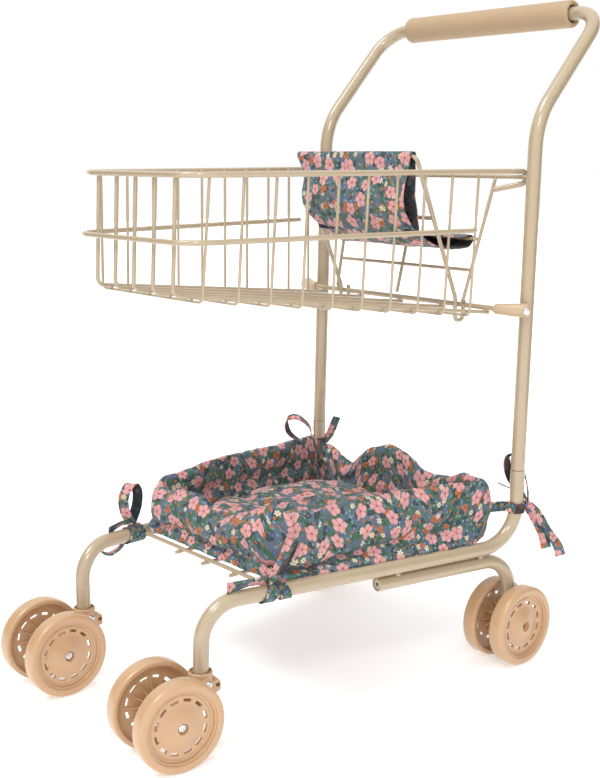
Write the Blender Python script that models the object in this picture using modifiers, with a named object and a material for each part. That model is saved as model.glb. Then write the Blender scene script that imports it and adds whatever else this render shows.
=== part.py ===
"""Toy shopping trolley: a bent tube frame with a wire basket, a folding doll seat, a padded
lower tray, two swivel casters in front and two fixed wheel pairs behind.

Metres, +Z up, the nose towards -Y and the handle towards +Y. The origin is at the centre of
the bounding box, on the floor. Inside the script, y is measured from the foot of the rear
posts, because every piece hangs on the frame empty that stands there.
"""
import math

import bpy
import bmesh
from mathutils import Matrix, Vector

# ---- driving dimensions ---------------------------------------------------------------
GAP = 0.0003                 # clearance kept between pieces that touch
POST_Y = 0.13554             # where the rear posts stand, from the middle of the object

TUBE_R = 0.0061              # frame tube
HEIGHT = 0.575               # top of the hand grip
GRIP_R = 0.012
GRIP_HALF = 0.0985
POST_X = 0.130               # rear post, half spacing
POST_LEAN = 0.0086           # how far the post leans back over its straight length
POST_TOP_Z = 0.470           # where the post bends towards the handle
JOINT_Z = 0.1735             # plug joint between the upper and lower tubes
HANDLE_Y = 0.0936
RAIL_REAR_Z = 0.107
RAIL_FRONT_Z = 0.1142
RAIL_FRONT_X = 0.0872
RAIL_FRONT_Y = -0.3081
LEG_X = 0.0845               # front leg, at its lower end
LEG_Y = -0.3087
LEG_END_Z = 0.0490

WHEEL_R = 0.0351
WHEEL_T = 0.0134             # width of the tread
WHEEL_STEPS = 20
FRONT_HALF_GAP = 0.0156      # half the space between the discs of a caster
REAR_HALF_GAP = 0.0084
CASTER_TRAIL = 0.030         # the wheels roll this far ahead of the leg
CASTER_TURN = {"left": -7.2, "right": -1.6}   # degrees about +Z, as the casters stand
AXLE_R = 0.0020
AXLE_HEAD_R = 0.0034
BORE_R = 0.0024
REAR_AXLE_Y = -0.0032
REAR_LEG_DROP = 0.0132       # lower tube below the rail, centre to centre
REAR_LEG_START_Y = -0.145

TOP_BAR = (0.0073, 0.4234, 0.0018)       # y, z and radius
BOTTOM_BAR = (-0.0180, 0.3140, 0.0023)
BAR_HALF = 0.1152            # bottom bar, up to its end sockets

RIM_R = 0.0023
RIM_Z = 0.4282
RING_R = 0.0021
RING_Z = 0.3805
RING_REAR_Y = -0.0430
SIDE_WIRE_R = 0.0011
LONG_WIRE_R = 0.0016
BASKET_HALF = 0.1155         # rim, half width at the posts
BASKET_TAPER = 0.130         # loss of half width per length towards the nose
BASKET_NOSE_Y = -0.3040
BASKET_CORNER = 0.026
FLOOR_REAR_Z = 0.3079        # long wires, at y = 0 and per length towards the nose
FLOOR_RISE = 0.110
FLOOR_BEND = 0.0065
CROSS_WIRES = 10
LONG_WIRES = 5

SEAT_HALF = 0.0735
SEAT_WIRE_R = 0.0018
SEAT_TOP_Y = -0.0755
SEAT_TOP_Z = 0.4420
SLING_HALF = 0.0670
SLING_T = 0.0016
PANEL_WIRE_R = 0.0015

RACK_WIRE_R = 0.00175
RACK_FRONT_Y = -0.2405
LINER_FRONT_Y = -0.2400
LINER_REAR_Y = -0.0100
LINER_FRONT_HALF = 0.0900
LINER_REAR_HALF = 0.1190
LINER_BASE_T = 0.0140
LINER_WALL_T = 0.0110
LINER_WALL_H = 0.0500
RIBBON_FRONT_Y = -0.2485
RIBBON_REAR_Z = 0.1620

SIDES = {"left": 1.0, "right": -1.0}      # left of the child who pushes it is +X

# ---- scene, materials and small helpers ----------------------------------------------
for old in list(bpy.data.objects):
    bpy.data.objects.remove(old, do_unlink=True)


def collection(name):
    made = bpy.data.collections.new(name)
    bpy.context.scene.collection.children.link(made)
    return made


PARTS = collection("toy_shopping_trolley")
CUTTERS = collection("cutters")
ROOT = bpy.data.objects.new("frame_origin", None)
ROOT.location = (0.0, POST_Y, 0.0)
PARTS.objects.link(ROOT)


def material(name, colour, roughness, metallic=0.0):
    made = bpy.data.materials.new(name)
    made.use_nodes = True
    shader = made.node_tree.nodes["Principled BSDF"]
    shader.inputs["Base Color"].default_value = (*colour, 1.0)
    shader.inputs["Roughness"].default_value = roughness
    shader.inputs["Metallic"].default_value = metallic
    return made


PAINT = material("sand_paint", (0.60, 0.48, 0.30), 0.30)
PLASTIC = material("peach_plastic", (0.72, 0.45, 0.25), 0.45)
GRIP_FOAM = material("grip_cover", (0.62, 0.39, 0.21), 0.70)
STEEL = material("bright_steel", (0.70, 0.70, 0.70), 0.25, 1.0)
CLOTH = material("printed_cotton", (0.11, 0.16, 0.19), 0.90)


def add(name, data, finish, where=(0, 0, 0), turn=(0, 0, 0), parent=None, target=None):
    """Put mesh or curve data in the scene as an object, in the posts' frame."""
    made = bpy.data.objects.new(name, data)
    data.materials.clear()
    data.materials.append(finish)
    made.location = where
    made.rotation_euler = turn
    made.parent = parent or ROOT
    (target or PARTS).objects.link(made)
    return made


def rounded(corners, steps=4):
    """A polyline through corners (x, y, z, radius), each corner turned into an arc."""
    path = [Vector(corners[0][:3])]
    for before, corner, after in zip(corners, corners[1:], corners[2:]):
        tip = Vector(corner[:3])
        radius = corner[3]
        back = (Vector(before[:3]) - tip).normalized()
        ahead = (Vector(after[:3]) - tip).normalized()
        half = back.angle(ahead) / 2
        centre = tip + (back + ahead).normalized() * radius / math.sin(half)
        first = tip + back * radius / math.tan(half) - centre
        last = tip + ahead * radius / math.tan(half) - centre
        path += [centre + first.slerp(last, k / steps) * radius for k in range(steps + 1)]
    path.append(Vector(corners[-1][:3]))
    return path


def mirrored(corners):
    """The other half of a path that crosses the middle plane, in reverse order."""
    return [(-c[0], *c[1:]) for c in reversed(corners)]


def flip(points, side):
    return [(side * p[0], *p[1:]) for p in points]


def tube_data(name, points, radius, resolution=2):
    curve = bpy.data.curves.new(name, "CURVE")
    curve.dimensions = "3D"
    curve.bevel_depth = radius
    curve.bevel_resolution = resolution
    curve.use_fill_caps = True
    spline = curve.splines.new("POLY")
    spline.points.add(len(points) - 1)
    for knot, point in zip(spline.points, points):
        knot.co = (*point[:3], 1.0)
    return curve


def tube(name, points, radius, finish, resolution=2, target=None):
    return add(name, tube_data(name, points, radius, resolution), finish, target=target)


def as_mesh(curve_object):
    """Replace a curve object by a welded mesh object, so that it can be cut or joined."""
    bpy.context.view_layer.update()
    graph = bpy.context.evaluated_depsgraph_get()
    data = bpy.data.meshes.new_from_object(curve_object.evaluated_get(graph))
    work = bmesh.new()
    work.from_mesh(data)
    bmesh.ops.remove_doubles(work, verts=work.verts, dist=0.00001)
    bmesh.ops.recalc_face_normals(work, faces=work.faces)
    work.to_mesh(data)
    work.free()
    name, finish = curve_object.name, curve_object.data.materials[0]
    place, home = curve_object.matrix_world.copy(), curve_object.users_collection[0]
    bpy.data.objects.remove(curve_object, do_unlink=True)
    made = add(name, data, finish, target=home)
    made.matrix_world = place
    return made


def as_cutter(item):
    for home in list(item.users_collection):
        home.objects.unlink(item)
    CUTTERS.objects.link(item)
    item.hide_render = True
    item.display_type = "WIRE"
    return item


def combine(item, other, operation):
    step = item.modifiers.new(operation.lower(), "BOOLEAN")
    step.operation = operation
    step.solver = "EXACT"
    step.object = as_cutter(other)


def cylinder(name, radius, depth, where, turn=(0, 0, 0), finish=None, sides=16, parent=None):
    data = bpy.data.meshes.new(name)
    work = bmesh.new()
    bmesh.ops.create_cone(work, cap_ends=True, segments=sides, radius1=radius,
                          radius2=radius, depth=depth)
    work.to_mesh(data)
    work.free()
    return add(name, data, finish or STEEL, where, turn, parent)


def turned(name, profile, finish, where, turn=(0, 0, 0), steps=16, parent=None, closed=False):
    """A Screw of (radius, height) points that run down the outer side about local Z."""
    data = bpy.data.meshes.new(name)
    count = len(profile)
    edges = [(k, k + 1) for k in range(count - 1)] + ([(count - 1, 0)] if closed else [])
    data.from_pydata([(r, 0.0, h) for r, h in profile], edges, [])
    made = add(name, data, finish, where, turn, parent)
    screw = made.modifiers.new("turned", "SCREW")
    screw.steps = screw.render_steps = steps
    screw.use_merge_vertices = True
    screw.merge_threshold = 0.00001
    screw.use_smooth_shade = True
    return made


def lerp(a, b, t):
    return a + (b - a) * t


# ---- the tube frame -------------------------------------------------------------------
def rail_point(y):
    """Centre of the left bottom rail at a given y."""
    t = y / RAIL_FRONT_Y
    return lerp(POST_X, RAIL_FRONT_X, t), lerp(RAIL_REAR_Z, RAIL_FRONT_Z, t)


def frame_tubes():
    handle_z = HEIGHT - GRIP_R
    half = [(POST_X, 0.0, JOINT_Z + GAP / 2),
            (POST_X, POST_LEAN, POST_TOP_Z, 0.060),
            (POST_X, HANDLE_Y, handle_z, 0.028)]
    corners = half + mirrored(half)
    tube("upper_frame_tube", rounded(corners, 5), TUBE_R, PAINT, 4)
    for name, side in SIDES.items():
        corners = [(POST_X, 0.0, JOINT_Z - GAP / 2),
                   (POST_X, 0.0, RAIL_REAR_Z, 0.036),
                   (RAIL_FRONT_X, RAIL_FRONT_Y, RAIL_FRONT_Z, 0.029),
                   (LEG_X, LEG_Y, LEG_END_Z)]
        tube("lower_frame_tube_" + name, flip(rounded(corners, 6), side), TUBE_R, PAINT, 4)


def hand_grip():
    bore = TUBE_R + 0.0004
    edge = 0.003
    profile = [(bore, GRIP_HALF), (GRIP_R - edge, GRIP_HALF), (GRIP_R, GRIP_HALF - edge),
               (GRIP_R, -GRIP_HALF + edge), (GRIP_R - edge, -GRIP_HALF), (bore, -GRIP_HALF)]
    turned("handle_grip", profile, GRIP_FOAM, (0, HANDLE_Y, HEIGHT - GRIP_R),
           (0, math.pi / 2, 0), 20, closed=True)


def rear_leg(name, side):
    start_x, start_z = rail_point(REAR_LEG_START_Y)
    end_x, end_z = rail_point(REAR_AXLE_Y)
    inboard = 0.0030
    corners = [(start_x - inboard, REAR_LEG_START_Y, start_z - REAR_LEG_DROP),
               (end_x - inboard, REAR_AXLE_Y, end_z - REAR_LEG_DROP, 0.030),
               (end_x - inboard, REAR_AXLE_Y, WHEEL_R - 0.009)]
    leg = as_mesh(tube("rear_leg_tube_" + name, flip(rounded(corners, 6), side), TUBE_R, PAINT, 4))
    axle_x = side * (end_x - inboard)
    combine(leg, cylinder("rear_axle_hole_" + name, AXLE_R + GAP, 0.030,
                          (axle_x, REAR_AXLE_Y, WHEEL_R), (0, math.pi / 2, 0)), "DIFFERENCE")
    return axle_x


def cross_bars():
    y, z, radius = TOP_BAR
    reach = POST_X - TUBE_R - GAP
    tube("top_cross_bar", [(-reach, y, z), (reach, y, z)], radius, PAINT)
    y, z, radius = BOTTOM_BAR
    tube("bottom_cross_bar", [(-BAR_HALF, y, z), (BAR_HALF, y, z)], radius, PAINT)


def bar_socket(name, side):
    """Tapered moulding that carries the bottom bar's end round the front of the post."""
    y, z, _ = BOTTOM_BAR
    slim, thick = 0.0040, 0.0060
    tip = Vector((0.1385, -0.0085, z))
    centres = [Vector((BAR_HALF + GAP, y, z)), Vector((0.1210, -0.0172, z)),
               Vector((0.1300, -0.0130, z)), tip, tip + Vector((0.0042, 0.0022, 0))]
    curve = tube_data("cross_bar_socket_" + name, flip(centres, side), thick, 4)
    sizes = [slim, slim, thick * 0.92, thick, thick * 0.55]
    for knot, size in zip(curve.splines[0].points, sizes):
        knot.radius = size / thick
    add("cross_bar_socket_" + name, curve, PLASTIC)
    facing = math.radians(-38)
    out = Vector((math.cos(facing), math.sin(facing), 0)) * (thick + GAP)
    place = tip + out
    heading = facing if side > 0 else math.pi - facing
    head = [(0.0, 0.0014), (0.0020, 0.0011), (0.0029, 0.0), (0.0, 0.0)]
    turned("socket_screw_" + name, head, STEEL, (side * place.x, place.y, place.z),
           (0, math.pi / 2, heading), 12)


# ---- the wire basket ------------------------------------------------------------------
def basket_half(y):
    """Half width of the rim's straight sides at y, before its nose corners."""
    return BASKET_HALF + BASKET_TAPER * y


def rim_side(y):
    """Half width of the rim at y, its round nose corners included."""
    into_corner = max(0.0, BASKET_NOSE_Y + BASKET_CORNER - y)
    return basket_half(y) - (BASKET_CORNER - math.sqrt(BASKET_CORNER ** 2 - into_corner ** 2))


def floor_z(y):
    """Height of the long wires at y, on their straight run."""
    return FLOOR_REAR_Z - FLOOR_RISE * y


def bent_floor_z(y):
    """The same, with the long wires' bend up to the nose."""
    into_bend = max(0.0, BASKET_NOSE_Y + FLOOR_BEND - y)
    return floor_z(y) + FLOOR_BEND - math.sqrt(FLOOR_BEND ** 2 - into_bend ** 2)


def rim_and_ring():
    bar_y, bar_z, _ = TOP_BAR
    hook_y = bar_y + 0.0050
    rear = basket_half(hook_y)
    half = [(0.0958, -0.0015, 0.4128),
            (rear, hook_y, bar_z - 0.0052, 0.0036),
            (rear, hook_y, RIM_Z, 0.0040),
            (basket_half(BASKET_NOSE_Y), BASKET_NOSE_Y, RIM_Z, BASKET_CORNER)]
    corners = half + mirrored(half)
    tube("basket_top_rim", rounded(corners, 5), RIM_R, PAINT)
    out = 0.0015
    half = [(basket_half(RING_REAR_Y) + out, RING_REAR_Y, RING_Z),
            (basket_half(BASKET_NOSE_Y) + out, BASKET_NOSE_Y - 0.0055, RING_Z, BASKET_CORNER)]
    corners = half + mirrored(half)
    tube("basket_middle_ring", rounded(corners, 5), RING_R, PAINT)


def cross_wires():
    """U-shaped wires: up both sides of the basket and across its floor, under the long wires."""
    inset = RIM_R + SIDE_WIRE_R + GAP
    for index in range(CROSS_WIRES):
        top_y = -0.0350 - 0.0278 * index
        low_y = -0.0385 - 0.0279 * index
        low_z = bent_floor_z(low_y) - LONG_WIRE_R - SIDE_WIRE_R - 3 * GAP
        top_x = rim_side(top_y) - inset - 0.0002
        low_x = rim_side(low_y) - inset - 0.0030
        half = [(top_x, top_y, RIM_Z + 0.0010), (low_x, low_y, low_z, 0.0055)]
        corners = half + mirrored(half)
        tube(f"basket_cross_wire_{index + 1}", rounded(corners, 3), SIDE_WIRE_R, PAINT)


def long_wires():
    """Wires that run forward over the cross wires and turn up to the rim at the nose."""
    inset = RIM_R + LONG_WIRE_R + GAP
    middle = (LONG_WIRES - 1) / 2
    for index in range(LONG_WIRES):
        share = (index - middle) / middle
        rear_x, nose_x = 0.1032 * share, 0.0522 * share
        rear_y, nose_y = -0.0140, BASKET_NOSE_Y + inset
        rear = (rear_x, rear_y, floor_z(rear_y))
        turn = (nose_x, nose_y - 0.0045, floor_z(nose_y), FLOOR_BEND)
        tube(f"basket_long_wire_{index + 1}",
             rounded([rear, turn, (nose_x, nose_y, RIM_Z + 0.0010)], 4), LONG_WIRE_R, PAINT)


def rear_panel():
    """The basket's fixed rear panel, one welded piece between the two cross bars."""
    low = Vector((0.0805, -0.0210, 0.3180))
    high = Vector((0.0895, 0.0062, TOP_BAR[1] - TOP_BAR[2] - GAP))

    def side_at(z):
        return low.lerp(high, (z - low.z) / (high.z - low.z))

    left = as_mesh(tube("basket_rear_panel", [low, high], PANEL_WIRE_R, PAINT))
    pieces = [("panel_right_wire", flip([low, high], -1))]
    for name, z in (("panel_low_wire", 0.3440), ("panel_high_wire", 0.3705)):
        end = side_at(z)
        pieces.append((name, flip([end, (-end.x, end.y, end.z)], 1)))
    middle_low, middle_high = side_at(0.3185), side_at(0.3705)
    pieces.append(("panel_middle_wire", [(0, middle_low.y, middle_low.z),
                                         (0, middle_high.y, middle_high.z)]))
    for name, points in pieces:
        combine(left, as_mesh(tube(name, points, PANEL_WIRE_R * 0.97, PAINT)), "UNION")


# ---- the folding doll seat --------------------------------------------------------------
def seat_pivot():
    """An empty on the bottom bar's axis, about which the seat folds."""
    pivot = bpy.data.objects.new("seat_pivot", None)
    pivot.location = (0, BOTTOM_BAR[0], BOTTOM_BAR[1])
    pivot.parent = ROOT
    PARTS.objects.link(pivot)
    return pivot


def hang_on(piece, pivot):
    """Move a piece whose points are measured from the pivot onto that empty."""
    piece.parent = pivot
    piece.matrix_parent_inverse = Matrix.Identity(4)
    piece.matrix_basis = Matrix.Identity(4)
    return piece


def seat_frame(pivot):
    bar_y, bar_z, bar_r = BOTTOM_BAR
    reach = bar_r + SEAT_WIRE_R + GAP
    top = Vector((SEAT_HALF, SEAT_TOP_Y - bar_y, SEAT_TOP_Z - bar_z))
    half = [(SEAT_HALF, reach + 0.0006, 0.0045),
            (SEAT_HALF, reach + 0.0006, -0.0140, reach - 0.0002),
            (SEAT_HALF, -reach - 0.0006, -0.0140, reach - 0.0002),
            (SEAT_HALF, -reach - 0.0006, 0.0060, 0.010),
            (*top, 0.008)]
    corners = half + mirrored(half)
    frame = hang_on(as_mesh(tube("seat_frame", rounded(corners, 4), SEAT_WIRE_R, PAINT)), pivot)
    share = 0.57
    low_y = lerp(-reach - 0.0006, top.y, share)
    low_z = lerp(0.0060, top.z, share)
    brace = as_mesh(tube("seat_brace", [(-SEAT_HALF, low_y, low_z), (SEAT_HALF, low_y, low_z)],
                         SEAT_WIRE_R * 0.8, PAINT))
    combine(frame, hang_on(brace, pivot), "UNION")


def seat_sling():
    """Cloth sling: it hangs from the seat's top bar and is hemmed to the rear panel."""
    front = SEAT_WIRE_R + SLING_T / 2 + 0.0006
    outline = [(SEAT_TOP_Y - front, SEAT_TOP_Z + 0.0008), (SEAT_TOP_Y - 0.0020, 0.4110),
               (-0.0620, 0.3865), (-0.0410, 0.3730), (-0.0140, 0.3668)]
    data = bpy.data.meshes.new("seat_sling")
    work = bmesh.new()
    rows = [[work.verts.new((x, y, z)) for x in (-SLING_HALF, SLING_HALF)] for y, z in outline]
    for low, high in zip(rows, rows[1:]):
        work.faces.new((low[0], low[1], high[1], high[0]))
    work.to_mesh(data)
    work.free()
    sling = add("seat_sling", data, CLOTH)
    shell = sling.modifiers.new("cloth", "SOLIDIFY")
    shell.thickness = SLING_T
    shell.offset = 0.0
    shell.use_even_offset = True


# ---- casters and wheels ---------------------------------------------------------------
def wheel_profile(hub_end):
    """(radius, height) of a dished disc; height 0 is the tread's inner edge."""
    plate = 0.0096
    skin = 0.0022
    return [(BORE_R, plate - skin), (0.0042, plate - skin), (0.0042, 0.0114),
            (0.0115, 0.0109), (0.0175, plate), (0.0266, plate), (0.0280, WHEEL_T),
            (0.0332, WHEEL_T), (WHEEL_R, WHEEL_T - 0.0020), (WHEEL_R, 0.0014),
            (0.0338, 0.0), (0.0312, 0.0), (0.0300, plate - skin),
            (0.0068, plate - skin), (0.0060, -hub_end), (BORE_R, -hub_end)]


def wheel(name, centre, heading, half_gap, hub_end, parent=None):
    """A disc whose outer face looks along heading (radians about Z) from centre."""
    out = Vector((math.cos(heading), math.sin(heading), 0))
    turned(name, wheel_profile(hub_end), PLASTIC, Vector(centre) + out * half_gap,
           (0, math.pi / 2, heading), WHEEL_STEPS, parent, closed=True)


def axle(name, centre, heading, half_gap, parent=None):
    reach = half_gap + 0.0096 - 0.0022
    end = reach + GAP + 0.0012
    seat = reach + GAP
    profile = [(0.0, end), (AXLE_HEAD_R, end), (AXLE_HEAD_R, seat), (AXLE_R, seat),
               (AXLE_R, -seat), (AXLE_HEAD_R, -seat), (AXLE_HEAD_R, -end), (0.0, -end)]
    turned(name, profile, STEEL, centre, (0, math.pi / 2, heading), 12, parent)


def caster(name, side):
    """A swivelling caster: collar and arm in one moulding, two discs on a pin."""
    swivel = bpy.data.objects.new("caster_swivel_" + name, None)
    swivel.location = (side * LEG_X, LEG_Y, 0)
    swivel.rotation_euler = (0, 0, math.radians(CASTER_TURN[name]))
    swivel.parent = ROOT
    PARTS.objects.link(swivel)

    arm_half = 0.0076
    hub = Vector((-CASTER_TRAIL, WHEEL_R))
    hub_r = 0.0085
    outline = [hub + hub_r * Vector((math.cos(a), math.sin(a)))
               for a in (math.radians(60 + 40 * k) for k in range(7))]
    outline += [Vector(p) for p in ((0.003, 0.0370), (0.0095, 0.0450), (0.0150, 0.0460),
                                    (0.0150, 0.0545), (0.0120, 0.0560), (0.0085, 0.0545),
                                    (-0.0085, 0.0545))]
    flat = bpy.data.curves.new("caster_fork_" + name, "CURVE")
    flat.dimensions = "2D"
    flat.fill_mode = "BOTH"
    flat.extrude = arm_half
    spline = flat.splines.new("POLY")
    spline.points.add(len(outline) - 1)
    for knot, point in zip(spline.points, outline):
        knot.co = (point.x, point.y, 0.0, 1.0)
    spline.use_cyclic_u = True
    fork = add("caster_fork_" + name, flat, PLASTIC, parent=swivel)
    fork.rotation_euler = (math.pi / 2, 0, math.pi / 2)
    fork = as_mesh(fork)
    collar_top, collar_low, collar_r = 0.0623, 0.0440, 0.0094
    middle = (collar_top + collar_low) / 2
    tall = collar_top - collar_low
    combine(fork, cylinder("collar_" + name, collar_r, tall, (0, 0, middle), parent=swivel,
                           finish=PLASTIC), "UNION")
    boss_z = 0.0525
    combine(fork, cylinder("screw_boss_" + name, 0.0040, 0.0060, (0.0075, 0, boss_z),
                           (0, math.pi / 2, 0), PLASTIC, 10, swivel), "UNION")
    floor = LEG_END_Z - 0.0008
    combine(fork, cylinder("leg_bore_" + name, TUBE_R + 0.0005, 0.03, (0, 0, floor + 0.015),
                           sides=20, parent=swivel), "DIFFERENCE")
    combine(fork, cylinder("leg_mouth_" + name, 0.0079, 0.01, (0, 0, collar_top + 0.0030),
                           sides=16, parent=swivel), "DIFFERENCE")
    combine(fork, cylinder("pin_hole_" + name, AXLE_R + GAP, 0.04, (0, -CASTER_TRAIL, WHEEL_R),
                           (0, math.pi / 2, 0), parent=swivel, sides=14), "DIFFERENCE")
    combine(fork, cylinder("ear_hole_" + name, 0.0018, 0.04, (0, 0.0120, 0.0508),
                           (0, math.pi / 2, 0), parent=swivel, sides=8), "DIFFERENCE")

    head = [(0.0, 0.0016), (0.0019, 0.0013), (0.0030, 0.0), (0.0, 0.0)]
    turned("caster_screw_" + name, head, STEEL, (0.0105 + GAP, 0, boss_z),
           (0, math.pi / 2, 0), 12, swivel)
    hub_end = FRONT_HALF_GAP - arm_half - 0.0006
    centre = (0, -CASTER_TRAIL, WHEEL_R)
    axle("caster_pin_" + name, centre, 0.0, FRONT_HALF_GAP, swivel)
    for face, heading in (("a", 0.0), ("b", math.pi)):
        wheel(f"front_wheel_{name}_{face}", centre, heading, FRONT_HALF_GAP, hub_end, swivel)


def rear_wheels(name, axle_x):
    hub_end = REAR_HALF_GAP - TUBE_R - 0.0006
    centre = (axle_x, REAR_AXLE_Y, WHEEL_R)
    axle("rear_pin_" + name, centre, 0.0, REAR_HALF_GAP)
    for face, heading in (("a", 0.0), ("b", math.pi)):
        wheel(f"rear_wheel_{name}_{face}", centre, heading, REAR_HALF_GAP, hub_end)


# ---- lower rack and its padded tray ------------------------------------------------------
def lower_rack():
    """Cross wires between the rails with three long wires welded under them."""
    def rung(y):
        x, z = rail_point(y)
        reach = x - TUBE_R - GAP
        return [(-reach, y, z - 0.0005), (reach, y, z - 0.0005)]

    rack = as_mesh(tube("lower_rack", rung(RACK_FRONT_Y), RACK_WIRE_R, PAINT))
    for index, y in enumerate((-0.1450, -0.0500)):
        combine(rack, as_mesh(tube(f"rack_rung_{index}", rung(y), RACK_WIRE_R, PAINT)), "UNION")
    drop = 2 * RACK_WIRE_R - 0.0003
    _, z_front = rail_point(RACK_FRONT_Y)
    _, z_rear = rail_point(-0.0500)
    for index, x in enumerate((-0.038, 0.0, 0.038)):
        rod = [(x, RACK_FRONT_Y - 0.0045, z_front - 0.0005 - drop),
               (x, -0.0470, z_rear - 0.0005 - drop)]
        combine(rack, as_mesh(tube(f"rack_rod_{index}", rod, RACK_WIRE_R * 0.9, PAINT)), "UNION")


def liner_half(y):
    t = (y - LINER_REAR_Y) / (LINER_FRONT_Y - LINER_REAR_Y)
    return lerp(LINER_REAR_HALF, LINER_FRONT_HALF, t)


def rest_z(y):
    """Lowest height of the tray at y: just over the rails' crown."""
    return rail_point(y)[1] + TUBE_R + 0.0006


def slab(name, footprint, height):
    """A closed block over a four-cornered footprint whose points give (x, y, bottom z)."""
    data = bpy.data.meshes.new(name)
    work = bmesh.new()
    low = [work.verts.new(p) for p in footprint]
    high = [work.verts.new((x, y, z + height)) for x, y, z in footprint]
    work.faces.new(low)
    work.faces.new(high)
    for k in range(len(low)):
        j = (k + 1) % len(low)
        work.faces.new((low[k], low[j], high[j], high[k]))
    bmesh.ops.recalc_face_normals(work, faces=work.faces)
    work.to_mesh(data)
    work.free()
    made = add(name, data, CLOTH)
    edge = made.modifiers.new("soft_edge", "BEVEL")
    edge.width = 0.003
    edge.segments = 1
    return made


def padded_tray():
    clear = 0.0008
    t = LINER_WALL_T
    front, rear = LINER_FRONT_Y, LINER_REAR_Y
    inner_front, inner_rear = front + t + clear, rear - t - clear

    def corner(side, y, inset):
        return (side * (liner_half(y) - inset), y, rest_z(y))

    inset = t + clear
    slab("tray_base_pad", [corner(-1, inner_rear, inset), corner(1, inner_rear, inset),
                           corner(1, inner_front, inset), corner(-1, inner_front, inset)],
         LINER_BASE_T)
    for name, side in SIDES.items():
        slab("tray_side_wall_" + name,
             [corner(side, rear, 0), corner(side, rear, t), corner(side, front, t),
              corner(side, front, 0)], LINER_WALL_H)
    for name, y_out, y_in in (("front", front, front + t), ("rear", rear, rear - t)):
        slab(f"tray_{name}_wall",
             [corner(-1, y_out, inset), corner(1, y_out, inset), corner(1, y_in, inset),
              corner(-1, y_in, inset)], LINER_WALL_H)


def tie_ring(name, centre, along):
    """A ribbon tied round a frame tube: a flat band that runs round the direction along."""
    inner = TUBE_R + 0.0005
    outer = inner + 0.0014
    wide = 0.0045
    profile = [(inner, wide), (outer, wide), (outer, -wide), (inner, -wide)]
    made = turned(name, profile, CLOTH, centre, steps=14, closed=True)
    made.rotation_euler = Vector(along).to_track_quat("Z", "Y").to_euler()


def ribbon_ties():
    x, z = rail_point(RIBBON_FRONT_Y)
    ahead = Vector((RAIL_FRONT_X - POST_X, RAIL_FRONT_Y, RAIL_FRONT_Z - RAIL_REAR_Z))
    for name, side in SIDES.items():
        tie_ring("ribbon_tie_front_" + name, (side * x, RIBBON_FRONT_Y, z),
                 (side * ahead.x, ahead.y, ahead.z))
        tie_ring("ribbon_tie_rear_" + name, (side * POST_X, 0.0, RIBBON_REAR_Z), (0, 0, 1))


# ---- build ---------------------------------------------------------------------------
frame_tubes()
hand_grip()
cross_bars()
rim_and_ring()
cross_wires()
long_wires()
rear_panel()
seat_frame(seat_pivot())
seat_sling()
lower_rack()
padded_tray()
ribbon_ties()
for end, sign in SIDES.items():
    bar_socket(end, sign)
    caster(end, sign)
    rear_wheels(end, rear_leg(end, sign))
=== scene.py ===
"""The looks of a toy shopping trolley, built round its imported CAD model.

Metres, +Z up, the nose towards -Y. Inside the script, y is measured from the foot of the
rear posts, as the frame is laid out, and every piece is then set at ORIGIN.
"""
import math

import bmesh
import bpy
import numpy as np
from mathutils import Matrix, Vector, noise


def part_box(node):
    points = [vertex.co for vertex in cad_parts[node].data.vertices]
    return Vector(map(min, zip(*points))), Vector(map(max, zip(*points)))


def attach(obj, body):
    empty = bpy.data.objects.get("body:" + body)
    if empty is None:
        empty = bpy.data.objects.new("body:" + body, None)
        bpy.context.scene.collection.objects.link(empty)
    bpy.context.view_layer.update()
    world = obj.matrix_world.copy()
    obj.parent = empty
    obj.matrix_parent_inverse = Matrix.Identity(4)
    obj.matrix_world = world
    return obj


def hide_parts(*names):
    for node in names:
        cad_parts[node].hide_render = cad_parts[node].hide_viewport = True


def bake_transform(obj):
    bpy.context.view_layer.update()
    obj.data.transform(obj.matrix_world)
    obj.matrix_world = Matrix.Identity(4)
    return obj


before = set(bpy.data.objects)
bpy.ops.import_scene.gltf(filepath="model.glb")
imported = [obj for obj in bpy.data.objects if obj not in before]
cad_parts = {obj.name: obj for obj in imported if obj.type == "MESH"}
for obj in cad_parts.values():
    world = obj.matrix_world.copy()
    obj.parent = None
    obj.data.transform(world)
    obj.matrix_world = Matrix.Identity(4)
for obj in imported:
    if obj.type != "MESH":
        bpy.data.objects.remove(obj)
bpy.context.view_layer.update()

# ---- sizes, most of them read from the frame --------------------------------------------
MM = 0.001
GAP = 0.3 * MM
POST_LOW, POST_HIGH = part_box("upper_frame_tube")
TUBE_R = 0.0061
POST_Y = POST_LOW.y + TUBE_R
POST_X = POST_HIGH.x - TUBE_R
ORIGIN = Vector((0.0, POST_Y, 0.0))
JOINT_Z = POST_LOW.z
POST_LEAN = 0.0086
POST_TOP_Z = 0.47
GRIP_LOW, GRIP_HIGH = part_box("handle_grip")
GRIP_R = (GRIP_HIGH.z - GRIP_LOW.z) / 2
GRIP_HALF = GRIP_HIGH.x
HANDLE_Y = (GRIP_HIGH.y + GRIP_LOW.y) / 2 - POST_Y
HANDLE_Z = (GRIP_HIGH.z + GRIP_LOW.z) / 2
RAIL_REAR_Z = 0.107
RAIL_FRONT = Vector((0.0872, -0.3081, 0.1142))
LEG_X = 0.0845
LEG_Y = -0.3087
LEG_END_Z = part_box("lower_frame_tube_left")[0].z

WHEEL_LOW, WHEEL_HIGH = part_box("rear_wheel_left_a")
WHEEL_R = (WHEEL_HIGH.z - WHEEL_LOW.z) / 2
FRONT_HALF_GAP = 0.0156
REAR_HALF_GAP = 0.0084
CASTER_TRAIL = 0.03
CASTER_TURN = {"left": -7.2, "right": -1.6}
REAR_AXLE_Y = -0.0032
REAR_AXLE_X = 0.1265555
REAR_LEG_DROP = 0.0132
REAR_LEG_START_Y = -0.145

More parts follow.
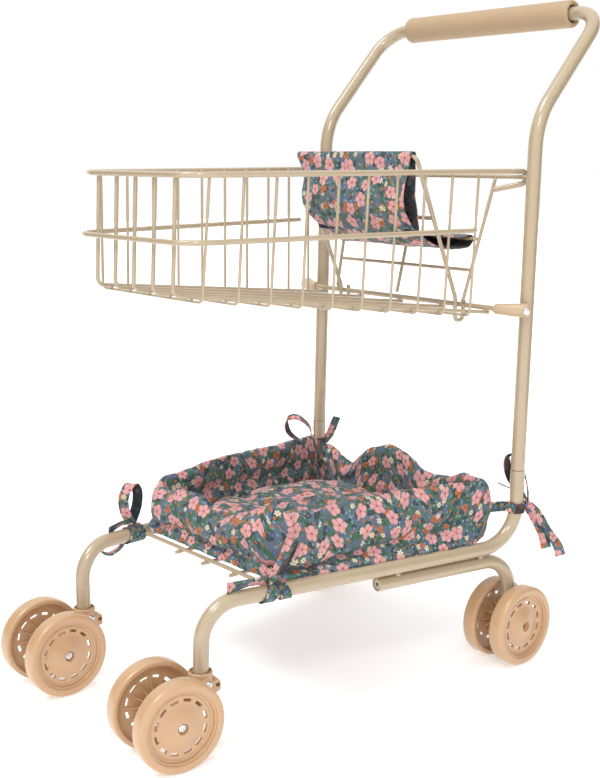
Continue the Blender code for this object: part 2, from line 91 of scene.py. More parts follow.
TOP_BAR = Vector((0.0, 0.0073, 0.4234))
TOP_BAR_R = 0.0018
BOTTOM_BAR = Vector((0.0, -0.018, 0.314))
BOTTOM_BAR_R = 0.0023
BAR_HALF = 0.1152

RIM_R = 0.0023
RIM_Z = 0.4282
RING_R = 0.0021
RING_Z = 0.3805
RING_REAR_Y = -0.043
SIDE_WIRE_R = 0.0011
LONG_WIRE_R = 0.0016
BASKET_HALF = 0.1155
BASKET_TAPER = 0.13
BASKET_NOSE_Y = -0.304
BASKET_CORNER = 0.026
FLOOR_REAR_Z = 0.3079
FLOOR_RISE = 0.11
FLOOR_BEND = 0.0065
CROSS_WIRES = 10
CROSS_TOP_Y = -0.035
CROSS_LOW_Y = -0.0385
LONG_SHARES = (-1.0, -0.5, 0.0, 0.5, 1.0)      # each long wire's place across the basket
LONG_REAR_X = 0.1032
LONG_REAR_Y = -0.014
LONG_NOSE_X = 0.0522
PANEL_WIRE_R = 0.0015
HEM_Z = 0.3705

SEAT_HALF = 0.0735
SEAT_WIRE_R = 0.0018
SEAT_TOP = Vector((0.0, -0.0755, 0.442))

RACK_WIRE_R = 0.00175
RACK_FRONT_Y = -0.2405
LINER_FRONT_Y = -0.24
LINER_REAR_Y = -0.01
LINER_FRONT_HALF = 0.09
LINER_REAR_HALF = 0.119

SIDES = {"left": 1.0, "right": -1.0}
ALONG_X = Vector((1, 0, 0))
ALONG_Y = Vector((0, 1, 0))
UP = Vector((0, 0, 1))
SIDEWAYS = Matrix.Rotation(math.pi / 2, 4, "Y")

# ---- camera and studio ------------------------------------------------------------------
CAMERA_AT = Vector((0.77097, -0.79803, 0.44298))
CAMERA_AZIMUTH = 49.42
CAMERA_ELEVATION = 11.15
FOCAL_MM = 55.32
SENSOR_MM = 36.0             # fitted to the picture's height
CARD_AWAY = 1.15
CARD_Z = 0.62


def link(made):
    bpy.context.scene.collection.objects.link(made)


def camera():
    data = bpy.data.cameras.new("photo_camera")
    data.sensor_fit = "VERTICAL"
    data.sensor_width = data.sensor_height = SENSOR_MM
    data.lens = FOCAL_MM
    made = bpy.data.objects.new("photo_camera", data)
    made.location = CAMERA_AT + ORIGIN
    made.rotation_euler = (math.radians(90 - CAMERA_ELEVATION), 0, math.radians(CAMERA_AZIMUTH))
    link(made)
    bpy.context.scene.camera = made


def light(name, kind, turn, where=(0, 0, 0), **settings):
    data = bpy.data.lights.new(name, kind)
    for key, value in settings.items():
        setattr(data, key, value)
    made = bpy.data.objects.new(name, data)
    made.location = where
    made.rotation_euler = turn
    link(made)


def stage_panel(name, size, colour, glow, place):
    """A flat square of the studio, not part of the object."""
    work = bmesh.new()
    bmesh.ops.create_grid(work, x_segments=1, y_segments=1, size=size / 2)
    made = bpy.data.objects.new(name, mesh_from(work, name, outward=False))
    link(made)
    made.matrix_world = place
    cover = bpy.data.materials.new(name)
    cover.use_nodes = True
    shader = cover.node_tree.nodes["Principled BSDF"]
    shader.inputs["Base Color"].default_value = (colour, colour, colour, 1.0)
    shader.inputs["Roughness"].default_value = 0.8
    shader.inputs["Emission Color"].default_value = (1.0, 1.0, 1.0, 1.0)
    shader.inputs["Emission Strength"].default_value = glow
    made.data.materials.append(cover)
    return made


def studio():
    """A white surround and floor, one soft sun and two dark cards that shape the tubes."""
    scene = bpy.context.scene
    scene.view_settings.view_transform = "Standard"
    world = bpy.data.worlds.new("white_surround")
    world.use_nodes = True
    back = world.node_tree.nodes["Background"]
    back.inputs["Color"].default_value = (1.0, 1.0, 1.0, 1.0)
    back.inputs["Strength"].default_value = 1.0
    scene.world = world
    light("soft_sun", "SUN", (math.radians(26), math.radians(-10), 0), energy=1.2,
          angle=math.radians(24))
    where = Vector((1.3, -1.2, 1.7))
    aim = (UP * 0.25 - where).to_track_quat("-Z", "Y").to_euler()
    light("key_light", "AREA", aim, where, shape="DISK", size=0.5, energy=10)
    stage_panel("floor", 12.0, 0.86, 0.42, Matrix.Translation((0, 0, -0.0002)))
    turn = math.radians(CAMERA_AZIMUTH)
    across = Vector((math.cos(turn), math.sin(turn), 0))
    for side, name in ((-1, "dark_card_left"), (1, "dark_card_right")):
        centre = across * side * CARD_AWAY + UP * CARD_Z
        spin = (-across * side).to_track_quat("Z", "Y").to_matrix().to_4x4()
        card = stage_panel(name, 1.2, 0.03, 0.0, Matrix.Translation(centre) @ spin)
        card.visible_camera = False


# ---- materials ----------------------------------------------------------------------------
def linear(red, green, blue):
    """A colour given as 0 to 255 display values, as the shader's linear values."""
    def one(value):
        share = value / 255
        return share / 12.92 if share <= 0.04045 else ((share + 0.055) / 1.055) ** 2.4
    return (one(red), one(green), one(blue), 1.0)


class Graph:
    """Short calls that add shader nodes to one material."""

    def __init__(self, name):
        self.material = bpy.data.materials.new(name)
        self.material.use_nodes = True
        self.tree = self.material.node_tree
        self.shader = self.tree.nodes["Principled BSDF"]

    def put(self, socket, value):
        if isinstance(value, bpy.types.NodeSocket):
            self.tree.links.new(value, socket)
        else:
            socket.default_value = value

    def node(self, kind, inputs=None, **settings):
        """Add a node: its settings first, because they decide which inputs it has."""
        made = self.tree.nodes.new(kind)
        for key, value in settings.items():
            setattr(made, key, value)
        for key, value in (inputs or {}).items():
            self.put(made.inputs[key], value)
        return made

    def calc(self, operation, a, b=0.0, c=0.0, clamp=False):
        inputs = {0: a, 1: b, 2: c}
        return self.node("ShaderNodeMath", inputs, operation=operation, use_clamp=clamp).outputs[0]

    def vector(self, operation, a, b=(0.0, 0.0, 0.0), scale=1.0):
        inputs = {0: a, 3: scale} if operation == "SCALE" else {0: a, 1: b}
        made = self.node("ShaderNodeVectorMath", inputs, operation=operation)
        return made.outputs["Value" if operation == "LENGTH" else "Vector"]

    def mix(self, share, low, high):
        made = self.node("ShaderNodeMix", {"Factor": share}, data_type="RGBA")
        self.put(made.inputs[6], low)
        self.put(made.inputs[7], high)
        return made.outputs[2]

    def place(self):
        return self.node("ShaderNodeTexCoord").outputs["Object"]

    def noise(self, at, scale, detail=2.0, roughness=0.5):
        inputs = {"Vector": at, "Scale": scale, "Detail": detail, "Roughness": roughness}
        return self.node("ShaderNodeTexNoise", inputs).outputs["Fac"]

    def spread(self, value, low, high):
        """A value from 0 to 1 as one from low to high."""
        inputs = {"Value": value, "To Min": low, "To Max": high}
        return self.node("ShaderNodeMapRange", inputs).outputs[0]

    def split(self, value):
        """The three outputs of a vector's separate numbers."""
        return self.node("ShaderNodeSeparateXYZ", {0: value}).outputs

    def bump(self, height, depth, strength, below=None):
        inputs = {"Height": height, "Distance": depth, "Strength": strength}
        if below is not None:
            inputs["Normal"] = below
        return self.node("ShaderNodeBump", inputs).outputs["Normal"]

    def set(self, values):
        """Finish the material with values for the shader's sockets."""
        for key, value in values.items():
            self.put(self.shader.inputs[key], value)
        return self.material


def tinted(colour, share):
    return (*[min(1.0, c * share) for c in colour[:3]], 1.0)


def paint():
    """Glossy powder coat in a sandy khaki, with faint orange peel and cloudiness."""
    g = Graph("sand_paint")
    at = g.place()
    base = linear(180, 161, 132)
    cloud = g.noise(at, 38.0, 3.0)
    return g.set({"Base Color": g.mix(cloud, tinted(base, 0.95), tinted(base, 1.04)),
                  "Roughness": g.spread(cloud, 0.2, 0.3), "Coat Weight": 0.7,
                  "Coat Roughness": 0.07, "Specular IOR Level": 0.6,
                  "Normal": g.bump(g.noise(at, 240.0, 1.0), 0.00002, 0.2)})


def plastic(name, colour, low, high, grain, coat=0.0):
    """Moulded plastic with a fine satin texture and slight flow marks."""
    g = Graph(name)
    at = g.place()
    flow = g.noise(at, 24.0, 4.0, 0.6)
    return g.set({"Base Color": g.mix(flow, tinted(colour, 0.955), tinted(colour, 1.03)),
                  "Roughness": g.spread(flow, low, high), "Subsurface Weight": 0.1,
                  "Subsurface Radius": (1.0, 0.45, 0.2), "Subsurface Scale": 0.002,
                  "Coat Weight": coat, "Coat Roughness": 0.16,
                  "Normal": g.bump(g.noise(at, grain), 0.00003, 0.35)})


def steel():
    """Bright turned steel."""
    g = Graph("bright_steel")
    brush = g.noise(g.vector("MULTIPLY", g.place(), (1.0, 1.0, 9.0)), 700.0, 3.0)
    return g.set({"Base Color": linear(216, 216, 214), "Metallic": 1.0,
                  "Roughness": g.spread(brush, 0.14, 0.3),
                  "Normal": g.bump(brush, 0.00002, 0.4)})


def flower(g, at, below, cell, shift, petals, size, depth, share, colour, core):
    """One scatter of printed flowers over the colour below. Lengths are in millimetres."""
    soft = 0.4
    grid = g.vector("ADD", g.vector("SCALE", at, scale=1.0 / cell), (*shift, 0.0))
    cells = g.node("ShaderNodeTexVoronoi", {"Vector": grid, "Scale": 1.0, "Randomness": 0.82},
                   voronoi_dimensions="2D")
    chance = g.node("ShaderNodeSeparateColor", {0: cells.outputs["Color"]}).outputs
    away = g.vector("SUBTRACT", grid, cells.outputs["Position"])
    x, y, _ = g.split(away)
    angle = g.calc("MULTIPLY_ADD", chance[0], 6.283, g.calc("ARCTAN2", y, x))
    radius = g.calc("MULTIPLY", g.vector("LENGTH", away), cell)
    lobe = g.calc("ABSOLUTE", g.calc("COSINE", g.calc("MULTIPLY", angle, petals / 2)))
    reach = g.calc("MULTIPLY_ADD", g.calc("POWER", lobe, 0.7), depth, 1.0 - depth)
    grown = g.calc("MULTIPLY_ADD", chance[2], 0.35 * size, 0.8 * size)
    edge = g.calc("MULTIPLY", reach, grown)
    inside = g.calc("MULTIPLY_ADD", g.calc("SUBTRACT", edge, radius), 1.0 / soft, 0.5, clamp=True)
    shown = g.calc("MULTIPLY", inside, g.calc("LESS_THAN", chance[1], share))
    vein = g.calc("MULTIPLY_ADD", lobe, 0.75, 0.25, clamp=True)
    petal = g.mix(vein, tinted(colour, 0.62), colour)
    middle = g.calc("LESS_THAN", radius, 0.2 * size)
    return g.mix(shown, below, g.mix(middle, petal, core))


THREAD_MM = 0.42


def print_cotton(name, fade=0.0):
    """Slate-blue cotton with a small scattered flower print and a fine plain weave. With fade, the
    print is darkened towards charcoal: painted shade for the cloth's backs."""
    g = Graph(name)
    uv = g.node("ShaderNodeUVMap", uv_map="print").outputs[0]
    at = g.vector("SCALE", uv, scale=1000.0)
    slate, moss = linear(97, 112, 127), linear(86, 107, 100)
    patch = g.noise(g.vector("SCALE", at, scale=0.11), 1.0, 2.0)
    patch = g.calc("MULTIPLY_ADD", patch, 7.0, -3.2, clamp=True)
    colour = g.mix(patch, slate, moss)
    leaf, cream = linear(74, 108, 84), linear(232, 216, 190)
    orange, pink = linear(190, 112, 70), linear(224, 164, 162)
    rust, sky, violet = linear(140, 80, 56), linear(128, 160, 174), linear(88, 98, 142)
    rose, ink = linear(168, 98, 102), linear(60, 72, 78)
    scatter = [(9.5, (0.3, 0.7), 2, 5.0, 0.72, 0.7, leaf, tinted(leaf, 0.7)),
               (7.5, (5.3, 2.1), 3, 3.2, 0.6, 0.6, ink, leaf),
               (5.0, (1.9, 8.4), 3, 1.25, 0.55, 0.5, sky, sky),
               (6.5, (7.7, 3.3), 2, 1.15, 0.2, 0.55, orange, orange),
               (11.0, (2.2, 5.9), 5, 2.0, 0.4, 0.4, violet, sky),
               (11.0, (4.1, 9.2), 6, 2.5, 0.75, 0.4, cream, rust),
               (13.5, (8.8, 1.4), 3, 3.7, 0.5, 0.42, orange, rust),
               (17.0, (3.6, 6.5), 5, 5.7, 0.28, 0.92, pink, rose)]
    for cell, shift, petals, size, depth, share, tint, core in scatter:
        colour = flower(g, at, colour, cell, shift, petals, size, depth, share, tint, core)
    wear = g.noise(at, 0.35, 4.0, 0.65)
    colour = g.mix(g.calc("MULTIPLY_ADD", wear, 0.5, -0.12, clamp=True), colour,
                   g.mix(0.5, colour, linear(60, 66, 74)))
    # darken the print towards charcoal: painted shade for the cloth's backs
    if fade:
        colour = g.mix(fade, colour, linear(30, 29, 36))
    warp, weft = [g.calc("SINE", g.calc("MULTIPLY", way, 2 * math.pi / THREAD_MM))
                  for way in list(g.split(at))[:2]]
    weave = g.calc("MULTIPLY", warp, weft)
    crinkle = g.noise(at, 0.12, 4.0, 0.6)
    normal = g.bump(weave, 0.00005, 0.45, g.bump(crinkle, 0.0016, 0.35))
    return g.set({"Base Color": colour, "Roughness": 0.92, "Sheen Weight": 0.18,
                  "Sheen Roughness": 0.45, "Specular IOR Level": 0.25, "Normal": normal})


# ---- building helpers -----------------------------------------------------------------------
def mesh_from(work, name, degrees=None, outward=True):
    """The mesh of a finished bmesh, smooth up to an angle if one is given. The beads keep
    their own normals, which are right already: the recalculation can turn such small ones."""
    if outward:
        bmesh.ops.recalc_face_normals(work, faces=work.faces)
    data = bpy.data.meshes.new(name)
    work.to_mesh(data)
    work.free()
    if degrees:
        shade(data, degrees)
    return data


def shape(name, data, finish, nodes=(), place=None, body="frame"):
    """One piece with its material, its place, its body and the nodes it stands for."""
    made = bpy.data.objects.new(name, data)
    made.matrix_world = place or Matrix.Translation(ORIGIN)
    data.materials.clear()
    data.materials.append(finish)
    link(made)
    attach(made, body)
    if nodes:
        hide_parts(*nodes)
    return made


def stand_in(node, data, finish, place=None, body="frame"):
    """A finer piece in one CAD node's place."""
    return shape(node + "_fine", data, finish, [node], place, body)


def shade(data, degrees):
    data.shade_smooth()
    data.set_sharp_from_angle(angle=math.radians(degrees))


def rounded(corners, steps):
    """A polyline through corners (x, y, z, radius), each corner turned into an arc."""
    path = [Vector(corners[0][:3])]
    for before, corner, after in zip(corners, corners[1:], corners[2:]):
        tip, radius = Vector(corner[:3]), corner[3]
        if not radius:
            path.append(tip)
            continue
        back = (Vector(before[:3]) - tip).normalized()
        ahead = (Vector(after[:3]) - tip).normalized()
        half = back.angle(ahead) / 2
        centre = tip + (back + ahead).normalized() * radius / math.sin(half)
        first = tip + back * radius / math.tan(half) - centre
        last = tip + ahead * radius / math.tan(half) - centre
        path += [centre + first.slerp(last, k / steps) * radius for k in range(steps + 1)]
    return path + [Vector(corners[-1][:3])]


def mirrored(corners):
    return [(-c[0], *c[1:]) for c in reversed(corners)]


def flip(points, side):
    return [(side * p[0], *p[1:]) for p in points]


def lerp(a, b, t):
    return a + (b - a) * t


def bar(name, strokes, radius, resolution=4, swell=None):
    """Curve data with one round bar for each stroke of points."""
    curve = bpy.data.curves.new(name, "CURVE")
    curve.dimensions = "3D"
    curve.bevel_depth = radius
    curve.bevel_resolution = resolution
    curve.use_fill_caps = True
    for points in strokes:
        line = curve.splines.new("POLY")
        line.points.add(len(points) - 1)
        for knot, point in zip(line.points, points):
            knot.co = (*point[:3], 1.0)
            knot.radius = swell(Vector(point[:3])) if swell else 1.0
    return curve


def wire(node, strokes, radius, body="frame", resolution=4, swell=None):
    """A painted wire or tube that takes a CAD node's place with a finer surface."""
    data = bar(node + "_fine", strokes, radius, resolution, swell)
    return stand_in(node, data, PAINT, body=body)


def ring_points(radius, height, steps):
    """Points of a circle about Z."""
    turns = [2 * math.pi * k / steps for k in range(steps)]
    return [(radius * math.cos(turn), radius * math.sin(turn), height) for turn in turns]


def lathe(profile, steps, slots=None):
    """Mesh turned about Z from closed (radius, height) points. slots is (row, other row,
    pitch, width): rows of the outer and inner face between which a slot is cut right through,
    width steps out of every pitch."""
    work = bmesh.new()
    rings = [[work.verts.new(p) for p in ring_points(*spot, steps)] for spot in profile]
    outer, inner, pitch, width = slots or (-1, -1, 1, 0)

    def band(row, other, k):
        j = (k + 1) % steps
        work.faces.new((rings[row][k], rings[row][j], rings[other][j], rings[other][k]))

    for row in range(len(profile)):
        for k in range(steps):
            if row not in (outer, inner) or k % pitch >= width:
                band(row, (row + 1) % len(profile), k)
    for k in range(steps if slots else 0):
        j = (k + 1) % steps
        if k % pitch < width:
            band(inner + 1, outer, k)
            band(outer + 1, inner, k)
        if (k % pitch < width) != (j % pitch < width):
            work.faces.new((rings[outer][j], rings[outer + 1][j], rings[inner][j],
                            rings[inner + 1][j]))
    return work


def spun(name, profile, steps):
    return mesh_from(lathe(profile, steps), name, 35)


def cylinder(radius, depth, place, sides=40):
    work = bmesh.new()
    bmesh.ops.create_cone(work, cap_ends=True, segments=sides, radius1=radius, radius2=radius,
                          depth=depth, matrix=place)
    return mesh_from(work, "cutter")


def slab(work, near, far):
    """Add a flat solid between two matching outlines."""
    near = [work.verts.new(point) for point in near]
    far = [work.verts.new(point) for point in far]
    work.faces.new(near)
    work.faces.new(list(reversed(far)))
    for a in range(len(near)):
        b = (a + 1) % len(near)
        work.faces.new((near[b], near[a], far[a], far[b]))


def carve(base, steps):
    """Boolean each (operation, mesh) onto a mesh and return the new mesh."""
    body = bpy.data.objects.new("carved", base)
    link(body)
    tools = []
    for operation, data in steps:
        tool = bpy.data.objects.new("carving_tool", data)
        link(tool)
        tools.append(tool)
        cut = body.modifiers.new("cut", "BOOLEAN")
        cut.operation = operation
        cut.solver = "EXACT"
        cut.object = tool
    bpy.context.view_layer.update()
    graph = bpy.context.evaluated_depsgraph_get()
    made = bpy.data.meshes.new_from_object(body.evaluated_get(graph))
    for item in tools + [body]:
        bpy.data.objects.remove(item, do_unlink=True)
    return made


def aimed(direction):
    """Rotation that turns local Z to a direction."""
    return Vector(direction).to_track_quat("Z", "Y").to_matrix().to_4x4()


def beads(name, spots, body="frame"):
    """Small weld beads: (place, radius, stretch direction, stretch)."""
    work = bmesh.new()
    for spot, radius, along, stretch in spots:
        turn = aimed(along)
        size = Matrix.Diagonal((radius, radius, radius * stretch, 1.0))
        made = bmesh.ops.create_icosphere(work, subdivisions=2, radius=1.0)
        for vert in made["verts"]:
            wobble = 1 + 0.16 * noise.noise(vert.co * 1.7 + Vector(spot) * 900)
            vert.co = Vector(spot) + (turn @ size @ (vert.co * wobble))
    return shape(name, mesh_from(work, name, 80, outward=False), PAINT, body=body)


# ---- the tube frame ----------------------------------------------------------------------
def rail_point(y):
    """Centre of the left bottom rail at a given y."""
    t = y / RAIL_FRONT.y
    return lerp(POST_X, RAIL_FRONT.x, t), lerp(RAIL_REAR_Z, RAIL_FRONT.z, t)


def upper_tube():
    """Both posts' upper part and the handle, in one bent tube."""
    half = [(POST_X, 0.0, JOINT_Z), (POST_X, POST_LEAN, POST_TOP_Z, 0.06),
            (POST_X, HANDLE_Y, HANDLE_Z, 0.028)]
    wire("upper_frame_tube", [rounded(half + mirrored(half), 20)], TUBE_R, resolution=10)


def lower_tubes():
    """The lower tubes, whose mouths are swaged a little wider for the plug joint."""
    mouth, swage = 0.011, 1.045

    def swaged(point):
        return 1.0 if point.z < JOINT_Z - mouth else swage

    for name, side in SIDES.items():
        corners = [(POST_X, 0.0, JOINT_Z - GAP), (POST_X, 0.0, JOINT_Z - mouth + 0.001, 0.0),
                   (POST_X, 0.0, JOINT_Z - mouth - 0.0012, 0.0),
                   (POST_X, 0.0, RAIL_REAR_Z, 0.036), (*RAIL_FRONT, 0.029),
                   (LEG_X, LEG_Y, LEG_END_Z)]
        wire("lower_frame_tube_" + name, [flip(rounded(corners, 18), side)], TUBE_R,
             resolution=10, swell=swaged)


def rear_legs():
    """Rear leg tubes under the rails, their open front ends plugged, with two welds each."""
    inboard = 0.003
    plug_r, hole_r = 0.005, 0.0015
    plug = [(plug_r, -0.001), (plug_r, 0.0006), (plug_r - 0.0008, 0.0012),
            (hole_r + 0.0006, 0.0012), (hole_r, 0.0008), (hole_r, -0.001)]
    lip = [(TUBE_R, -0.0006), (TUBE_R, 0.001), (TUBE_R - 0.0007, 0.0016),
           (plug_r + 0.0002, 0.0012), (plug_r + 0.0002, -0.0006)]
    bore = [(hole_r + 0.0004, 0.0001), (hole_r + 0.0004, -0.0002), (0.0001, -0.0002),
            (0.0001, 0.0001)]
    spots = []
    for name, side in SIDES.items():
        start_x, start_z = rail_point(REAR_LEG_START_Y)
        end_x, end_z = rail_point(REAR_AXLE_Y)
        corners = [(start_x - inboard, REAR_LEG_START_Y, start_z - REAR_LEG_DROP),
                   (end_x - inboard, REAR_AXLE_Y, end_z - REAR_LEG_DROP, 0.03),
                   (end_x - inboard, REAR_AXLE_Y, WHEEL_R - 0.009)]
        path = flip(rounded(corners, 18), side)
        wire("rear_leg_tube_" + name, [path], TUBE_R, resolution=10)
        front = Vector(path[0])
        ahead = (front - Vector(path[1])).normalized()
        # the bore is a near-black disc in the plug's hole: painted shade
        for part, profile, steps, finish, reach in (
                ("plug", plug, 32, PAINT, 0.0002), ("lip", lip, 40, PAINT, 0.0002),
                ("bore", bore, 24, DARK, 0.0003)):
            place = Matrix.Translation(ORIGIN + front + ahead * reach) @ aimed(ahead)
            shape(f"rear_leg_{part}_{name}", spun(part, profile, steps), finish, place=place)
        for y in (-0.128, -0.04):
            x, z = rail_point(y)
            for off, size, stretch in ((0.002, 0.0021, 1.5), (-0.0022, 0.002, 1.3)):
                spots.append(((side * (x - inboard / 2 + off), y, z - REAR_LEG_DROP / 2), size,
                              ALONG_Y, stretch))
    beads("rail_welds", spots)


def hand_grip():
    """Padded cover with rounded ends and an open bore."""
    bore = TUBE_R + 0.0004
    mouth = TUBE_R + 0.0014
    arc = 0.003
    half = [(mouth, GRIP_HALF - 0.0012), (GRIP_R - 0.0032, GRIP_HALF)]
    half += [(GRIP_R - arc + arc * math.sin(a), GRIP_HALF - arc + arc * math.cos(a))
             for a in np.linspace(0.15, math.pi / 2, 8)]
    half += [(GRIP_R - 0.00018, lerp(GRIP_HALF - arc - 0.001, 0.0, k / 24))
             for k in range(1, 24, 2)]
    low = [(r, -h) for r, h in reversed(half)]
    profile = half + low + [(bore, -GRIP_HALF + 0.006), (bore, GRIP_HALF - 0.006)]
    place = Matrix.Translation(ORIGIN + Vector((0, HANDLE_Y, HANDLE_Z)))
    stand_in("handle_grip", spun("handle_grip_fine", profile, 72), GRIP_FOAM,
             place @ SIDEWAYS)


def cross_bars():
    for node, centre, reach, radius in (
            ("top_cross_bar", TOP_BAR, POST_X - TUBE_R + 0.0008, TOP_BAR_R),
            ("bottom_cross_bar", BOTTOM_BAR, BAR_HALF, BOTTOM_BAR_R)):
        ends = [centre + Vector((x, 0, 0)) for x in (-reach, reach)]
        wire(node, [ends], radius, resolution=6)


def bar_sockets():
    """Tapered mouldings that carry the bottom bar's ends round the front of the posts."""
    slim, thick = 0.004, 0.006
    tip = Vector((0.1385, -0.0085, BOTTOM_BAR.z))
    line = [(BAR_HALF - 0.0006, BOTTOM_BAR.y, slim), (BAR_HALF + 0.0012, BOTTOM_BAR.y, 0.0046),
            (0.121, -0.0172, 0.0047), (0.13, -0.013, 0.0056), (tip.x, tip.y, thick)]
    knots = [(Vector((x, y, BOTTOM_BAR.z)), radius) for x, y, radius in line]
    heading = math.radians(30)
    out = Vector((math.cos(heading), math.sin(heading), 0))
    knots += [(tip + out * 0.0048 * math.sin(a), thick * math.cos(a) * 0.98 + 0.0001)
              for a in np.linspace(0.25, 1.5, 8)]
    smooth = []
    for (a, low), (b, high) in zip(knots, knots[1:]):
        smooth += [(a.lerp(b, t), lerp(low, high, t)) for t in (0.0, 0.5)]
    smooth.append(knots[-1])
    look = math.radians(-38)
    away = Vector((math.cos(look), math.sin(look), 0))
    at = tip + away * (thick + 0.0001)
    for name, side in SIDES.items():
        node = "cross_bar_socket_" + name
        curve = bar(node + "_fine", [flip([point for point, _ in smooth], side)], thick, 10)
        for knot, (_, radius) in zip(curve.splines[0].points, smooth):
            knot.radius = radius / thick
        stand_in(node, curve, SOCKET)
        place = Matrix.Translation(ORIGIN + Vector((side * at.x, at.y, at.z)))
        stand_in(f"socket_screw_{name}", screw_head(0.0029, 0.0012), STEEL,
                 place @ aimed((side * away.x, away.y, 0)))


def screw_head(radius, height):
    """A pan head with a cross recess, standing on local Z."""
    dome = [(0.0001, height)]
    dome += [(radius * math.sin(a), height * 0.45 + height * 0.55 * math.cos(a))
             for a in np.linspace(0.15, 1.45, 10)]
    dome += [(radius, height * 0.4), (radius, 0.0), (0.0001, 0.0)]
    cuts = []
    for turn in (0, math.pi / 2):
        work = bmesh.new()
        size = Matrix.Diagonal((radius * 1.15, radius * 0.26, height * 1.1, 1.0))
        place = Matrix.Translation((0, 0, height)) @ Matrix.Rotation(turn + 0.5, 4, "Z") @ size
        bmesh.ops.create_cube(work, size=1.0, matrix=place)
        cuts.append(("DIFFERENCE", mesh_from(work, "recess")))
    made = carve(mesh_from(lathe(dome, 40), "screw_head"), cuts)
    shade(made, 40)
    return made


# ---- the wire basket ------------------------------------------------------------------------
def basket_half(y):
    return BASKET_HALF + BASKET_TAPER * y


def rim_side(y):
    """Half width of the rim at y, its round nose corners included."""
    into = max(0.0, BASKET_NOSE_Y + BASKET_CORNER - y)
    return basket_half(y) - (BASKET_CORNER - math.sqrt(BASKET_CORNER ** 2 - into ** 2))


def floor_z(y):
    return FLOOR_REAR_Z - FLOOR_RISE * y


def bent_floor_z(y):
    into = max(0.0, BASKET_NOSE_Y + FLOOR_BEND - y)
    return floor_z(y) + FLOOR_BEND - math.sqrt(FLOOR_BEND ** 2 - into ** 2)


def rim_and_ring():
    """The top rim, its ends bent under the top bar, and the ring that stops at the seat."""
    hook_y = TOP_BAR.y + 0.005
    rear = basket_half(hook_y)
    half = [(0.0958, -0.0015, 0.4128), (rear, hook_y, TOP_BAR.z - 0.0052, 0.0036),
            (rear, hook_y, RIM_Z, 0.004),
            (basket_half(BASKET_NOSE_Y), BASKET_NOSE_Y, RIM_Z, BASKET_CORNER)]
    wire("basket_top_rim", [rounded(half + mirrored(half), 14)], RIM_R, resolution=6)
    out = 0.0015
    half = [(basket_half(RING_REAR_Y) + out, RING_REAR_Y, RING_Z),
            (basket_half(BASKET_NOSE_Y) + out, BASKET_NOSE_Y - 0.0055, RING_Z, BASKET_CORNER)]
    wire("basket_middle_ring", [rounded(half + mirrored(half), 14)], RING_R, resolution=6)


def basket_wires():
    """Cross wires under the long wires, and a bead at each weld."""
    spots = []
    inset = RIM_R + SIDE_WIRE_R + GAP
    for index in range(CROSS_WIRES):
        top_y = CROSS_TOP_Y - 0.0278 * index
        low_y = CROSS_LOW_Y - 0.0279 * index
        low_z = bent_floor_z(low_y) - LONG_WIRE_R - SIDE_WIRE_R - 3 * GAP
        top_x = rim_side(top_y) - inset - 0.0002
        low_x = rim_side(low_y) - inset - 0.003
        half = [(top_x, top_y, RIM_Z + 0.001), (low_x, low_y, low_z, 0.0055)]
        wire(f"basket_cross_wire_{index + 1}", [rounded(half + mirrored(half), 8)], SIDE_WIRE_R)
        share = (RIM_Z - RING_Z) / (RIM_Z - low_z)
        mid_x, mid_y = lerp(top_x, low_x, share), lerp(top_y, low_y, share)
        for side in (1, -1):
            spots += [((side * (top_x + SIDE_WIRE_R + 0.0002), top_y, RIM_Z - 0.0004), 0.001,
                       ALONG_Y, 1.7),
                      ((side * (mid_x + SIDE_WIRE_R + 0.0004), mid_y, RING_Z), 0.0009,
                       ALONG_Y, 1.5)]
        for share in LONG_SHARES:
            back = (low_y - LONG_REAR_Y) / (BASKET_NOSE_Y - LONG_REAR_Y)
            x = share * lerp(LONG_REAR_X, LONG_NOSE_X, back)
            if abs(x) < low_x - 0.004:
                spots.append(((x, low_y, low_z + SIDE_WIRE_R + 0.0001), 0.0008, ALONG_Y, 1.5))
    nose_y = BASKET_NOSE_Y + RIM_R + LONG_WIRE_R + GAP
    for index, share in enumerate(LONG_SHARES):
        rear_x, nose_x = LONG_REAR_X * share, LONG_NOSE_X * share
        path = [(rear_x, LONG_REAR_Y, floor_z(LONG_REAR_Y)),
                (nose_x, nose_y - 0.0045, floor_z(nose_y), FLOOR_BEND),
                (nose_x, nose_y, RIM_Z + 0.001)]
        wire(f"basket_long_wire_{index + 1}", [rounded(path, 10)], LONG_WIRE_R)
        spots += [((nose_x, nose_y - LONG_WIRE_R - 0.0002, RIM_Z - 0.0004), 0.0011, ALONG_X, 1.6),
                  ((nose_x, nose_y - LONG_WIRE_R - 0.0022, RING_Z), 0.001, ALONG_X, 1.6),
                  ((rear_x, BOTTOM_BAR.y, BOTTOM_BAR.z - BOTTOM_BAR_R - 0.0002), 0.0011,
                   ALONG_X, 1.4)]
    beads("basket_welds", spots)


def rear_panel():
    """Two leaning side wires, two cross wires and a middle one, welded to the bars."""
    low = Vector((0.0805, -0.021, 0.318))
    high = Vector((0.0895, 0.0062, TOP_BAR.z - TOP_BAR_R))

    def side_at(z):
        return low.lerp(high, (z - low.z) / (high.z - low.z))

    strokes = [[low, high], flip([low, high], -1)]
    for z in (0.344, HEM_Z):
        strokes.append([side_at(z), flip([side_at(z)], -1)[0]])
    strokes.append([(0, *side_at(z)[1:]) for z in (0.3185, HEM_Z)])
    wire("basket_rear_panel", strokes, PANEL_WIRE_R)
    spots = []
    for side in (1, -1):
        spots += [((side * high.x, high.y, high.z), 0.0013, ALONG_X, 1.5),
                  ((side * low.x, low.y + 0.0015, low.z - 0.001), 0.0013, ALONG_X, 1.6),
                  ((side * 0.095, -0.001, 0.4128), 0.0014, UP, 1.4)]
    beads("panel_welds", spots)


